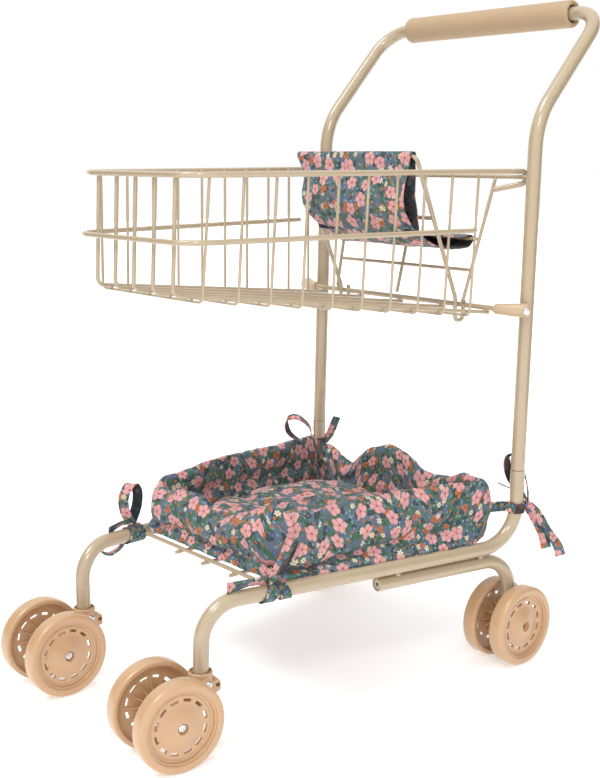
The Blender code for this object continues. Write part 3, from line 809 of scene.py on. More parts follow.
# ---- the folding seat ---------------------------------------------------------------------
def seat_wires():
    """The seat's wire, hooked round the bottom bar, with a brace across it."""
    reach = BOTTOM_BAR_R + SEAT_WIRE_R + GAP
    out = reach + 0.0006
    foot, top = (-out, 0.006), SEAT_TOP - BOTTOM_BAR
    half = [(SEAT_HALF, out, 0.0045), (SEAT_HALF, out, -0.014, reach - 0.0002),
            (SEAT_HALF, -out, -0.014, reach - 0.0002), (SEAT_HALF, *foot, 0.01),
            (SEAT_HALF, top.y, top.z, 0.008)]
    path = [Vector(p) + BOTTOM_BAR for p in rounded(half + mirrored(half), 12)]
    share = 0.57
    low_y = lerp(foot[0], top.y, share) + BOTTOM_BAR.y
    low_z = lerp(foot[1], top.z, share) + BOTTOM_BAR.z
    ends = [(x, low_y, low_z) for x in (-SEAT_HALF, SEAT_HALF)]
    wire("seat_frame", [path, ends], SEAT_WIRE_R, body="seat", resolution=6)
    beads("seat_welds", [(end, 0.0021, UP, 1.25) for end in reversed(ends)], "seat")


# ---- wheels and casters ---------------------------------------------------------------------
WHEEL_STEPS = 120
HUB_FLOOR = 0.0112
SLOT_PITCH = 10
SLOT_STEPS = 6


def wheel_profile(hub_end):
    """(radius, height) of the dished disc in metres, outer face first; the slot's rows are the
    ones at 19.3 mm on each face."""
    outer = [(4.2, 11.2), (4.2, 13.0), (4.4, 13.5), (4.9, 13.75), (6.0, 13.6), (9.0, 12.7),
             (12.0, 11.7), (15.0, 10.7), (16.8, 10.1), (18.0, 9.8), (19.3, 9.7), (21.8, 9.7),
             (24.0, 9.7), (24.5, 9.3), (25.0, 9.3), (25.5, 9.7), (26.8, 9.8), (27.0, 11.5),
             (27.3, 11.8), (28.3, 11.8), (28.6, 12.0), (28.8, 13.0), (29.2, 13.3),
             (30.4, 13.5), (31.7, 13.5), (33.0, 13.3), (34.1, 12.8), (34.8, 11.9),
             (35.1, 10.6), (35.1, 6.6), (35.1, 2.8), (34.9, 1.3), (34.4, 0.4), (33.6, 0.0),
             (31.6, 0.0), (31.1, 0.3), (30.9, 0.9)]
    inner = [(30.2, 5.5), (29.6, 6.9), (28.4, 7.35), (25.0, 7.4), (21.8, 7.4), (19.3, 7.4),
             (12.0, 7.5), (8.0, 7.4), (6.9, 6.9), (6.3, 5.5), (6.0, 2.0)]
    scale = WHEEL_R / 35.1
    points = [(r * scale, h * MM) for r, h in outer + inner]
    return points + [(0.006, -hub_end), (0.0024, -hub_end), (0.0024, HUB_FLOOR)]


def wheel_mesh(name, hub_end):
    """A disc with twelve slots right through its plate and a fan of ribs behind."""
    profile = wheel_profile(hub_end)
    radii = [round(r / MM, 1) for r, _ in profile]
    outer = radii.index(19.3)
    inner = radii.index(21.8, outer + 5)
    work = lathe(profile, WHEEL_STEPS, (outer, inner, SLOT_PITCH, SLOT_STEPS))
    ribs = WHEEL_STEPS // SLOT_PITCH
    rib = [(0.0056, 0.0078), (0.0185, 0.0078), (0.0185, 0.0068), (0.0056, 0.0018)]
    for k in range(ribs):
        turn = 2 * math.pi * (k + 0.8) / ribs
        along = Vector((math.cos(turn), math.sin(turn), 0))
        thick = UP.cross(along) * 0.0005
        slab(work, *[[along * r + UP * h + offset for r, h in rib] for offset in (thick, -thick)])
    return mesh_from(work, name, 30)


def facing(centre, heading):
    """Place whose local Z looks along heading, radians about +Z, from centre."""
    return (Matrix.Translation(ORIGIN + Vector(centre)) @ Matrix.Rotation(heading, 4, "Z")
            @ SIDEWAYS)


def wheel_pair(name, centre, heading, half_gap, hub_end, pin, body, recess):
    """Two discs on one pin; recess is how deep the pin's heads sit in the discs."""
    data = wheel_mesh(name, hub_end)
    centre = Vector(centre)
    seat = half_gap + HUB_FLOOR - recess
    faces = [(face, turn, Vector((math.cos(turn), math.sin(turn), 0)))
             for face, turn in (("a", heading), ("b", heading + math.pi))]
    for face, turn, out in faces:
        place = facing(centre + out * half_gap, turn) @ Matrix.Rotation(0.09, 4, "Z")
        stand_in(f"{name}_{face}", data, PLASTIC, place, f"{name}_{face}")
    core = [(0.002, -seat), (0.002, seat), (0.0001, seat), (0.0001, -seat)]
    stand_in(pin, spun(pin, core, 24), STEEL, facing(centre, heading), body)
    for face, turn, out in faces:
        shape(f"{pin}_head_{face}", screw_head(0.0032, 0.0014), STEEL, body=body,
              place=facing(centre + out * (seat - 0.0001), turn))


def caster(name, side):
    """A fork with its collar and clamp ear, turned about the front leg, and its two discs."""
    turn = math.radians(CASTER_TURN[name])
    base = Vector((side * LEG_X, LEG_Y, 0))
    ahead = Vector((math.sin(turn), -math.cos(turn), 0))
    arm_half = 0.0076
    body = "caster_" + name
    wheel_pair("front_wheel_" + name, base + ahead * CASTER_TRAIL + UP * WHEEL_R, turn,
               FRONT_HALF_GAP, FRONT_HALF_GAP - arm_half - 0.0006, "caster_pin_" + name, body, 0.0)

    hub_r = 0.0085
    outline = [(-CASTER_TRAIL + hub_r * math.cos(a), WHEEL_R + hub_r * math.sin(a))
               for a in np.linspace(math.radians(60), math.radians(300), 25)]
    outline += [(0.003, 0.037), (0.008, 0.0432), (0.0095, 0.0448), (0.0106, 0.0458),
                (0.0122, 0.0459), (0.013, 0.0466), (0.0132, 0.048), (0.0132, 0.053),
                (0.0127, 0.0543), (0.0112, 0.0556), (0.0085, 0.0545), (-0.0085, 0.0545)]
    work = bmesh.new()
    slab(work, *[[(x, y, z) for y, z in outline] for x in (-arm_half, arm_half)])
    top, low, collar_r, soft = 0.0623, 0.044, 0.0094, 0.0009
    collar = [(0.0001, top)]
    collar += [(collar_r - soft + soft * math.sin(a), top - soft + soft * math.cos(a))
               for a in np.linspace(0, math.pi / 2, 6)]
    collar += [(collar_r, low), (0.0001, low)]

    def upright(radius, depth, z):
        return cylinder(radius, depth, Matrix.Translation((0, 0, z)), 48)

    def through(radius, depth, x, y, z, sides=40):
        return cylinder(radius, depth, Matrix.Translation((x, y, z)) @ SIDEWAYS, sides)

    boss_z = 0.055
    fork = carve(mesh_from(work, "arm"), [
        ("UNION", mesh_from(lathe(collar, 64), "collar")),
        ("UNION", through(0.0042, 0.007, 0.0085, 0, boss_z)),
        ("DIFFERENCE", upright(TUBE_R + 0.0003, 0.03, LEG_END_Z + 0.0142)),
        ("DIFFERENCE", upright(0.008, 0.01, top + 0.003)),
        ("DIFFERENCE", through(0.0023, 0.04, 0, -CASTER_TRAIL, WHEEL_R)),
        ("DIFFERENCE", through(0.0018, 0.04, 0, 0.011, 0.0508, 24))])
    fork.name = "caster_fork"
    shade(fork, 32)
    place = Matrix.Translation(ORIGIN + base) @ Matrix.Rotation(turn, 4, "Z")
    made = stand_in(f"caster_fork_{name}", fork, PLASTIC, place, body)
    edges = made.modifiers.new("soft_edge", "BEVEL")
    edges.width = 0.0004
    edges.segments = 2
    edges.limit_method = "ANGLE"
    edges.angle_limit = math.radians(50)
    stand_in(f"caster_screw_{name}", screw_head(0.0031, 0.0016), STEEL,
             place @ Matrix.Translation((0.012, 0, boss_z)) @ SIDEWAYS, body)


def rear_wheels(name, side):
    hub_end = REAR_HALF_GAP - TUBE_R - 0.0006
    wheel_pair("rear_wheel_" + name, (side * REAR_AXLE_X, REAR_AXLE_Y, WHEEL_R), 0.0,
               REAR_HALF_GAP, hub_end, "rear_pin_" + name, "frame", 0.004)


# ---- lower rack -------------------------------------------------------------------------------
def lower_rack():
    """Three wires between the rails and three rods under them."""
    sink = 0.0005
    drop = 2 * RACK_WIRE_R - 0.0003
    rungs = (RACK_FRONT_Y, -0.145, -0.05)
    rods_x = (-0.038, 0.0, 0.038)
    strokes, spots = [], []
    for y in rungs:
        x, z = rail_point(y)
        reach = x - TUBE_R + 0.0006
        strokes.append([(-reach, y, z - sink), (reach, y, z - sink)])
        spots += [((side * (reach - 0.0002), y, z - 0.0004), 0.0021, ALONG_Y, 1.2)
                  for side in (1, -1)]
    wire("lower_rack", strokes, RACK_WIRE_R, resolution=6)
    front_z, rear_z = [rail_point(y)[1] - sink - drop for y in (rungs[0], rungs[-1])]
    rods = [[(x, RACK_FRONT_Y - 0.0045, front_z), (x, -0.047, rear_z)] for x in rods_x]
    spots += [((x, y, rail_point(y)[1] - sink - drop / 2), 0.0013, ALONG_Y, 1.5)
              for x in rods_x for y in rungs]
    shape("rack_rods", bar("rack_rods", rods, RACK_WIRE_R * 0.9, 6), PAINT)
    beads("rack_welds", spots)


# ---- cloth: shared helpers ------------------------------------------------------------------
CLOTH_T = 0.0012


def printed_face(work, layer, corners):
    """Add one face from corners (vertex, place on the print)."""
    face = work.faces.new([vert for vert, _ in corners])
    for loop, (_, spot) in zip(face.loops, corners):
        loop[layer].uv = spot
    return face


def woven(name, rows, prints, closed_u=False, closed_v=False):
    """Mesh from rows of points with the print laid on it. prints holds, for each row and
    column, the cloth's own coordinates in metres, with one more row or column where that
    way is closed."""
    work = bmesh.new()
    layer = work.loops.layers.uv.new("print")
    verts = [[work.verts.new(p) for p in row] for row in rows]
    high, wide = len(rows), len(rows[0])
    for i in range(high if closed_u else high - 1):
        for j in range(wide if closed_v else wide - 1):
            corners = ((i, j), (i + 1, j), (i + 1, j + 1), (i, j + 1))
            printed_face(work, layer, [(verts[a % high][b % wide], prints[a][b])
                                       for a, b in corners])
    data = mesh_from(work, name)
    data.shade_smooth()
    return data


def drape(made, held, pressure, growth, frames, limit, gravity=0.0, bending=0.15):
    """Run the cloth on one piece and keep its shape. held gives each vertex's hold, 0 to 1;
    growth is the share by which the cloth is cut larger than its form; no vertex travels
    further than limit."""
    scene = bpy.context.scene
    group = made.vertex_groups.new(name="held")
    for index, weight in enumerate(held):
        group.add([index], min(1.0, weight), "REPLACE")
    cloth = made.modifiers.new("drape", "CLOTH")
    settings = {"quality": 6, "mass": 0.12, "tension_stiffness": 18.0,
                "compression_stiffness": 18.0, "shear_stiffness": 6.0,
                "bending_stiffness": bending, "air_damping": 2.0, "vertex_group_mass": "held",
                "shrink_min": -growth, "use_pressure": pressure > 0,
                "uniform_pressure_force": pressure}
    for name, value in settings.items():
        setattr(cloth.settings, name, value)
    cloth.settings.effector_weights.gravity = gravity
    cloth.collision_settings.use_collision = False
    cloth.point_cache.frame_start = 1
    cloth.point_cache.frame_end = frames
    for step in range(1, frames + 1):
        scene.frame_set(step)
    moved = made.evaluated_get(bpy.context.evaluated_depsgraph_get()).to_mesh()
    rest = np.array([v.co for v in made.data.vertices])
    travel = np.array([v.co for v in moved.vertices]) - rest
    size = np.linalg.norm(travel, axis=1, keepdims=True)
    travel *= np.minimum(1.0, limit / np.maximum(size, 1e-9))
    made.modifiers.remove(cloth)
    made.vertex_groups.clear()
    made.data.vertices.foreach_set("co", (rest + travel).astype(np.float32).ravel())
    made.data.update()
    scene.frame_set(1)


def fabric_piece(name, data):
    """A cloth object in its place: the print is its first material, the painted-shade print its
    second.
    """
    made = bpy.data.objects.new(name, data)
    made.location = ORIGIN
    link(made)
    data.materials.append(COTTON)
    data.materials.append(PAINTED_SHADE_BACK)
    return made


def refine(made):
    fine = made.modifiers.new("fine", "SUBSURF")
    fine.levels = fine.render_levels = 1


def padding(made, held, pressure, growth, frames, limit, nodes):
    """Puff a closed cloth piece up, subdivide it, attach it to the frame and hide the nodes it
    stands for.
    """
    drape(made, held, pressure, growth, frames, limit)
    refine(made)
    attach(made, "frame")
    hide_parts(*nodes)


def spline(points, steps):
    """A smooth Catmull-Rom curve through the points, steps samples to each stretch."""
    points = [Vector(p) for p in points]
    ends = [points[0] * 2 - points[1]] + points + [points[-1] * 2 - points[-2]]
    path = []
    for a, b, c, d in zip(ends, ends[1:], ends[2:], ends[3:]):
        for k in range(steps):
            t = k / steps
            path.append(0.5 * (2 * b + (c - a) * t + (2 * a - 5 * b + 4 * c - d) * t * t
                               + (3 * b - a - 3 * c + d) * t ** 3))
    return path + [points[-1]]


def along(table, value):
    """Smooth lookup in a short list of (place, value) pairs."""
    for (a, low), (b, high) in zip(table, table[1:]):
        if value <= b:
            t = min(1.0, max(0.0, (value - a) / (b - a)))
            return lerp(low, high, t * t * (3 - 2 * t))
    return table[-1][1]


def evenly(line, runs, count, to_end):
    """count points at even lengths along a line whose stretches have the lengths in runs, the
    lengths so far, and the total."""
    lengths = np.concatenate([[0], np.cumsum(runs)])
    spots = np.linspace(0, lengths[-1], count, endpoint=to_end)
    places = np.array(line)
    even = np.stack([np.interp(spots, lengths, places[:, k]) for k in range(3)], axis=1)
    return even, spots, lengths[-1]


def ripple(point, size, seed):
    """Noise from -1 to 1 at a point, with features of about that size."""
    return noise.noise(Vector(point) / size + Vector((seed * 7.3, seed * 3.1, seed * 5.7)))


# ---- the padded tray -------------------------------------------------------------------------
WALL_T = 0.0105
WALL_STEPS = 300
SECTION_STEPS = 40
FRONT_TOP = [(-0.085, 0.1645), (-0.068, 0.1548), (-0.045, 0.16), (-0.019, 0.1592),
             (0.005, 0.154), (0.016, 0.1525), (0.042, 0.1625), (0.058, 0.1672),
             (0.076, 0.1745), (0.09, 0.175)]
REAR_TOP = [(-0.119, 0.158), (-0.098, 0.156), (-0.064, 0.1415), (-0.036, 0.163),
            (-0.011, 0.1705), (0.012, 0.166), (0.045, 0.1515), (0.06, 0.157),
            (0.085, 0.1645), (0.119, 0.16)]


def liner_half(y):
    t = (y - LINER_REAR_Y) / (LINER_FRONT_Y - LINER_REAR_Y)
    return lerp(LINER_REAR_HALF, LINER_FRONT_HALF, t)


def rest_z(y):
    """Lowest height of the tray at y: just over the rails' crown."""
    return rail_point(y)[1] + TUBE_R + 0.0005


def tray_path():
    """The walls' middle line as (point, outward direction, length so far), evenly spaced."""
    inset = WALL_T / 2 + 0.0015
    rear, front = LINER_REAR_Y - inset, LINER_FRONT_Y + inset
    rear_x, front_x = LINER_REAR_HALF - inset, LINER_FRONT_HALF - inset
    start = (rear_x * 0.4, rear, 0.0)
    corners = [start, (rear_x, rear, 0.0, 0.015), (front_x, front, 0.0, 0.02),
               (-front_x, front, 0.0, 0.016), (-rear_x, rear, 0.0, 0.012), start]
    line = rounded(corners, 24)
    even, spots, total = evenly(line, [(b - a).length for a, b in zip(line, line[1:])],
                                WALL_STEPS, False)
    centre = Vector((0, (rear + front) / 2, 0))
    path = []
    for k, at in enumerate(even):
        run = even[(k + 1) % WALL_STEPS] - even[k - 1]
        out = Vector((-run[1], run[0], 0)).normalized()
        if out.dot(Vector(at) - centre) < 0:
            out = -out
        path.append((Vector(at), out, spots[k]))
    return path, total


def wall_top(point):
    """Height of the walls' top edge at a place on their middle line."""
    if point.y > LINER_REAR_Y - 0.012:
        return along(REAR_TOP, point.x)
    depth = (point.y - LINER_REAR_Y) / (LINER_FRONT_Y - LINER_REAR_Y)
    if depth > 0.955:
        return along(FRONT_TOP, point.x)
    ear = 0.011 * math.exp(-((point.y - LINER_FRONT_Y) / 0.0155) ** 2) if point.x > 0 else 0
    side = 0.1652 if point.x > 0 else 0.1632
    return side + ear + 0.001 * ripple(point, 0.03, 2)


def wall_section(point, out, length, base, high):
    """One cross-section of the wall: (point, height share, fold share, print run). Each face
    has a pinched fold; below the outer one the cloth flares out over the rail, gathered."""
    near, far = max(0.0, out.x), max(0.0, -out.x)
    rear, front = max(0.0, out.y), max(0.0, -out.y)
    shift = ripple((length, 0, 0), 0.035, 1)
    lean = 0.0045 * (0.4 + 0.6 * ripple((length, 0.3, 0), 0.055, 4)) - 0.003 * rear
    depth = (point.y - LINER_REAR_Y) / (LINER_FRONT_Y - LINER_REAR_Y)
    outer_fold = lerp(0.44, 0.12, min(1.0, max(0.0, depth * 1.15))) * near + 0.24 * (1 - near)
    inner_fold = 0.5 + 0.06 * shift
    flare = (rail_point(point.y)[0] + 0.001 - abs(point.x)) * max(near, far) ** 2
    flare *= min(1.0, max(0.0, (LINER_REAR_Y - 0.006 - point.y) / 0.03))
    flare += 0.0075 * front
    tuck = max(0.0, -2 * out.x * out.y) ** 4
    section = []
    travelled = 0.0
    before = None
    for k in range(SECTION_STEPS):
        turn = 2 * math.pi * k / SECTION_STEPS - math.pi / 2
        cos, sin = math.cos(turn), math.sin(turn)
        way, fade = math.copysign(1, cos), min(1.0, abs(cos) * 3)
        share = 0.5 + 0.5 * math.copysign(abs(sin) ** 0.62, sin)
        across = way * WALL_T / 2 * abs(cos) ** 0.7
        across += way * fade * 0.003 * math.sin(math.pi * min(1.0, share * 1.05)) ** 0.8
        low = 0.0
        if cos > 0:
            fold, deep = outer_fold + 0.03 * shift, 0.007 + 0.002 * near
            low = max(0.0, 1 - share / (fold + 0.02)) ** 0.6
            across = lerp(across, max(across, flare), low * fade)
        else:
            fold, deep = inner_fold, 0.0038 + 0.0042 * far + 0.0016 * front
            across += 0.004 * tuck * fade
        notch = math.exp(-((share - fold) / 0.034) ** 2)
        across -= way * deep * notch * fade
        across += way * 0.0022 * fade * math.exp(-((share - fold - 0.13) / 0.08) ** 2)
        across -= lean * share ** 2
        spot = point + out * across + UP * (base + high * share)
        if before is not None:
            travelled += (spot - before).length
        before = spot
        pucker = 0.0009 * ripple((length * 3.0, share * 0.02, cos * 0.01), 0.012, 6)
        gather = 0.0016 * ripple((length * 0.35, share * 0.05, 0.0), 0.0042, 8) * low
        section.append((spot + out * (pucker + gather) * way, share, notch, travelled))
    return section


def tray_walls():
    """One padded wall all round, with its top edge slumped as cloth walls slump."""
    path, total = tray_path()
    rows, prints, held = [], [], []
    for point, out, length in path:
        base = rest_z(point.y) - 0.0036 * max(0.0, -out.y) - 0.0014 * abs(out.x)
        tops = [wall_top(point + out.cross(UP) * d) for d in (-0.006, 0.0, 0.006)]
        section = wall_section(point, out, length, base, sum(tops) / 3 - base)
        rows.append([spot for spot, *_ in section])
        girth = section[-1][3] + (section[-1][0] - section[0][0]).length
        prints.append([(length, run) for *_, run in section] + [(length, girth)])
        held += [max(1.0 if share < 0.06 else 0.0, min(1.0, notch * 1.5), 0.04)
                 for _, share, notch, _ in section]
    prints.append([(total, v) for _, v in prints[0]])
    data = woven("tray_walls", rows, prints, closed_u=True, closed_v=True)
    walls = [f"tray_{part}" for part in ("side_wall_left", "side_wall_right", "front_wall",
                                         "rear_wall")]
    padding(fabric_piece("tray_walls", data), held, 1.5, 0.05, 24, 0.005, walls)


def tray_cushion():
    """The crowned base pad, held in by a seam all round."""
    clear = WALL_T + 0.0018
    across, deep = 64, 60
    front, rear = LINER_FRONT_Y + clear, LINER_REAR_Y - clear
    seam = 0.0052
    rows, prints = [], []
    # the top from the rear to the front, and then the underside back again
    for top, order in [(1, i) for i in range(deep + 1)] + [(0, deep - i) for i in range(1, deep)]:
        v = 2 * order / deep - 1
        row, row_print = [], []
        for j in range(across + 1):
            u = 2 * j / across - 1
            y = lerp(rear, front, (v + 1) / 2)
            half = liner_half(y) - clear
            pull = 1 - 0.03 * (1 - u * u) * abs(v) ** 6
            x = u * half * (1 - 0.02 * (1 - v * v) * abs(u) ** 6)
            y = (y - (rear + front) / 2) * pull + (rear + front) / 2
            puff = max(0.0, (1 - abs(u) ** 3.2) * (1 - abs(v) ** 3.2)) ** 0.5
            swell = 0.0125 * puff + 0.0012 * ripple((x, y, 0), 0.028, 9) * puff
            z = rest_z(y) + seam + (swell if top else -0.0048 * min(1.0, puff * 1.6))
            row.append(Vector((x, y, z)))
            row_print.append((x + 0.5, y + 0.3 + 0.4 * (1 - top)))
        rows.append(row)
        prints.append(row_print)
    data = woven("tray_cushion", rows, prints + [prints[0]], closed_u=True)
    work = bmesh.new()
    work.from_mesh(data)
    bmesh.ops.remove_doubles(work, verts=work.verts, dist=0.00002)
    bmesh.ops.holes_fill(work, edges=work.edges, sides=0)
    bmesh.ops.recalc_face_normals(work, faces=work.faces)
    work.to_mesh(data)
    work.free()
    data.shade_smooth()
    held = [1.0 if v.co.z < rest_z(v.co.y) + seam + 0.0006 else 0.06 for v in data.vertices]
    padding(fabric_piece("tray_cushion", data), held, 0.7, 0.045, 22, 0.004, ["tray_base_pad"])


# ---- ribbons ---------------------------------------------------------------------------------
RIBBON_W = 0.009
RIBBON_T = 0.001
KNOT_R = 0.0034
RIGHT = Vector((0.65, 0.76, 0.0))          # across the picture, and its depth
DEPTH = Vector((-0.745, 0.638, -0.193))


def strip(work, layer, path, across, offset):
    """Add one flat strip along path, its width turned as across lists from end to end. The faces
    inside a loop, and on a tail those facing away, take the darkened print: painted shade."""
    outline = ((-1, -1), (-0.4, -1.25), (0.4, -1.25), (1, -1), (1, 1), (0.4, 0.75), (-0.4, 0.75),
               (-1, 1))
    rings, length, inward = [], 0.0, 0.0
    middle = sum(path, Vector()) / len(path)
    closed = (path[0] - path[-1]).length < 0.004
    for k, point in enumerate(path):
        before = path[max(k - 1, 0)]
        ahead = (path[min(k + 1, len(path) - 1)] - before).normalized()
        share = k / (len(path) - 1) * (len(across) - 1)
        a = min(int(share), len(across) - 2)
        wide = Vector(across[a]).lerp(Vector(across[a + 1]), share - a)
        wide = (wide - ahead * wide.dot(ahead)).normalized()
        thick = ahead.cross(wide)
        inward += thick.dot(middle - point if closed else DEPTH)
        length += (point - before).length
        rings.append([(work.verts.new(point + wide * u * RIBBON_W / 2 + thick * t * RIBBON_T / 2),
                       (offset + u * RIBBON_W / 2, offset * 3 + length)) for u, t in outline])
    for low, high in zip(rings, rings[1:]):
        for k in range(8):
            j = (k + 1) % 8
            face = printed_face(work, layer, (low[k], low[j], high[j], high[k]))
            # the side inside a loop, or facing away on a tail, gets the darkened print: painted
            # shade
            face.material_index = int(k in ((4, 5, 6) if inward > 0 else (0, 1, 2)))
    for ring in (rings[0], rings[-1]):
        printed_face(work, layer, ring)
    return length


def wrap(centre, axis, radius, turns=1.0, start=0.0, drift=0.0):
    """Points round a tube, drifting along it."""
    axis = Vector(axis).normalized()
    spoke = axis.orthogonal().normalized()
    count = int(28 * turns)
    return [Vector(centre) + Matrix.Rotation(start + 2 * math.pi * turns * k / count, 3, axis)
            @ spoke * radius + axis * drift * (k / count - 0.5) for k in range(count + 1)]


def knotted(knot, axis):
    """The short wrap that hides where a tie's strips cross."""
    return (wrap(knot, axis, KNOT_R, 1.1), [axis] * 2, None)


def ribbon(place, strokes):
    """A tie made of strips: (path, width directions, smooth steps or None)."""
    node = "ribbon_tie_" + place
    work = bmesh.new()
    layer = work.loops.layers.uv.new("print")
    total = 0.0
    for index, (path, across, steps) in enumerate(strokes):
        points = spline(path, steps) if steps else path
        total += strip(work, layer, points, across, 0.02 + 0.037 * index)
    made = fabric_piece(node + "_fine", mesh_from(work, node + "_fine", 50))
    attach(made, "frame")
    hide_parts(node)
    "lower_frame_tube_" + place.split("_")[1]


def off(base, *moves):
    """Points at the given moves from base, in millimetres."""
    return [Vector(base) + Vector([part / 1000 for part in move]) for move in moves]


def seen(base, *spots):
    """Points beside base, each (millimetres to the right in the picture, height in
    millimetres)."""
    places = [Vector(base) + RIGHT * right * MM for right, _ in spots]
    return [Vector((at.x, at.y, high / 1000)) for at, (_, high) in zip(places, spots)]


def ribbons():
    """Each tie is a list of strips. Points are in millimetres."""
    around = TUBE_R + RIBBON_T / 2 + 0.0003
    zero = Vector()
    # rear, near the viewer: strip round the post, knot behind, two tails and a tall loop
    knot = Vector((0.1365, 0.0085, 0.1405))
    ribbon("rear_left", [
        (wrap((POST_X, 0.0, 0.1395), (0.05, 0.05, 1), around, 1.15, 0.4, 0.004), [UP] * 2, None),
        (off(zero, (109, -29, 137), (117, -18, 140), (126.2, -8.4, 140.8), (134.5, -6.8, 139.8)),
         [UP] * 2, 6),
        knotted(knot, (0.4, 0.5, -0.75)),
        ([knot, *seen(knot, (7, 128), (14, 113), (17, 102))],
         [RIGHT, RIGHT + DEPTH * 0.5, RIGHT], 8),
        ([knot, *seen(knot, (8, 133), (18, 118), (27, 104), (30, 95))],
         [RIGHT + UP * 0.6, RIGHT + DEPTH * 0.9, RIGHT + UP * 0.5], 8),
        ([knot, *off(zero, (133.5, 10.5, 154), (128.5, 12, 166), (124, 10.5, 177),
                     (120.5, 4.5, 183.5), (118.5, -0.5, 180.5), (118.8, 1, 170),
                     (121.5, 6, 159), (129, 10.5, 148)), knot],
         [DEPTH, DEPTH + RIGHT * 0.3, RIGHT * 0.8 + DEPTH, RIGHT + DEPTH * 0.5, DEPTH], 7),
        (off(zero, (127, 8.5, 150), (121, 1, 154.5), (115.5, -6.5, 159)), [DEPTH] * 2, 6)])
    # rear, far from the viewer: a wide loop to the left, a short end to the right
    post = Vector((-POST_X, 0.0, 0.151))
    knot = Vector((-0.1365, -0.0062, 0.152))
    ribbon("rear_right", [
        (wrap(post, (0.03, 0.02, 1), around, 1.1, 0.2, 0.003), [UP] * 2, None),
        knotted(knot, (0.6, 0.5, 0.6)),
        ([knot, *off(zero, (-133, -9.5, 142), (-128.5, -15, 127), (-127, -16, 118))],
         [DEPTH] * 2, 7),
        ([knot, *seen(post, (-9, 163), (-15, 171.5), (-24, 176.5), (-32, 175), (-34, 168.5),
                      (-31, 159.5), (-22, 152.5), (-13, 150)), knot],
         [DEPTH + UP * 0.3, DEPTH + UP * 0.5, DEPTH + UP * 0.7 + RIGHT * 0.3, DEPTH + RIGHT * 0.6,
          DEPTH + UP * 0.4], 7),
        (seen(post, (5, 151), (11, 159), (15, 169), (18, 176.5)),
         [RIGHT + DEPTH * 0.4, RIGHT + DEPTH * 0.6], 7)])
    # front, near the viewer: two turns from one knot, a loop against the wall, a tail ahead
    x, z = rail_point(-0.244)
    ahead = Vector((RAIL_FRONT.x - POST_X, RAIL_FRONT.y, RAIL_FRONT.z - RAIL_REAR_Z)).normalized()
    knot = Vector((x - 0.001, -0.248, z + TUBE_R + 0.0042))
    ribbon("front_left", [
        (wrap((x - 0.001, -0.252, z), ahead + UP * 0.42, around + 0.0006), [ahead] * 2, None),
        (wrap((x + 0.0008, -0.2405, z - 0.0001), ahead - UP * 0.42, around + 0.0006),
         [ahead] * 2, None),
        knotted(knot, (0.1, 0.9, 0.3)),
        ([knot, *off(knot, (6, -1, 8), (10, 4, 20), (9.5, 11, 29), (6, 17, 29), (3.5, 17, 19),
                     (2, 9, 6)), knot],
         [RIGHT * 0.5 + DEPTH, RIGHT + DEPTH * 0.6, RIGHT * 0.3 + DEPTH], 7),
        (off(knot, (0, -2, 0), (-0.5, -12, 1), (-2, -26, 1.2), (-3.5, -40, 0.8)),
         [(0.3, 0, 1), (0.8, 0, 1), (0.1, 0, 1)], 8),
        ([knot, *off(knot, (-4, 5, 1), (-7, 12, 1.5))], [UP] * 2, 6)])
    # front, far from the viewer: a standing loop, two turns, a short tail above and one below
    knot = Vector((-x - 0.0005, -0.252, z + TUBE_R + 0.0036))
    ahead = Vector((-ahead.x, ahead.y, ahead.z))
    loop = [knot + RIGHT * right * MM + DEPTH * deep * MM + UP * (high + 0.193 * deep) * MM
            for right, deep, high in ((-4.5, -3, 12), (-5, -4, 24), (-1, -2, 33.5), (3.5, 2, 34.5),
                                      (6, 5, 27), (5, 6, 15), (2, 3, 5))]
    ribbon("front_right", [
        (wrap((-x + 0.0014, -0.2545, z), ahead + UP * 0.15, around + 0.0004), [ahead] * 2, None),
        (wrap((-x - 0.0006, -0.2465, z), ahead - UP * 0.1, around + 0.0009), [ahead] * 2, None),
        ([knot, *loop, knot], [RIGHT, RIGHT - DEPTH * 0.2, RIGHT], 8),
        ([knot, *off(knot, (0, -9, 1.5), (0.5, -23, -2.5))], [(1, 0, 0.5), (0.5, 0, 1)], 8),
        ([Vector((-x - a, -b, z - c)) for a, b, c in
          ((0.001, 0.26, 0.008), (0.002, 0.266, 0.0125), (0.001, 0.274, 0.014), (0, 0.282, 0.011))],
         [(1, 0, 0.4), (1, 0, -0.2)], 8)])


# ---- the seat's cloth -------------------------------------------------------------------------
SLING_ROWS = 84
SLING_COLUMNS = 44


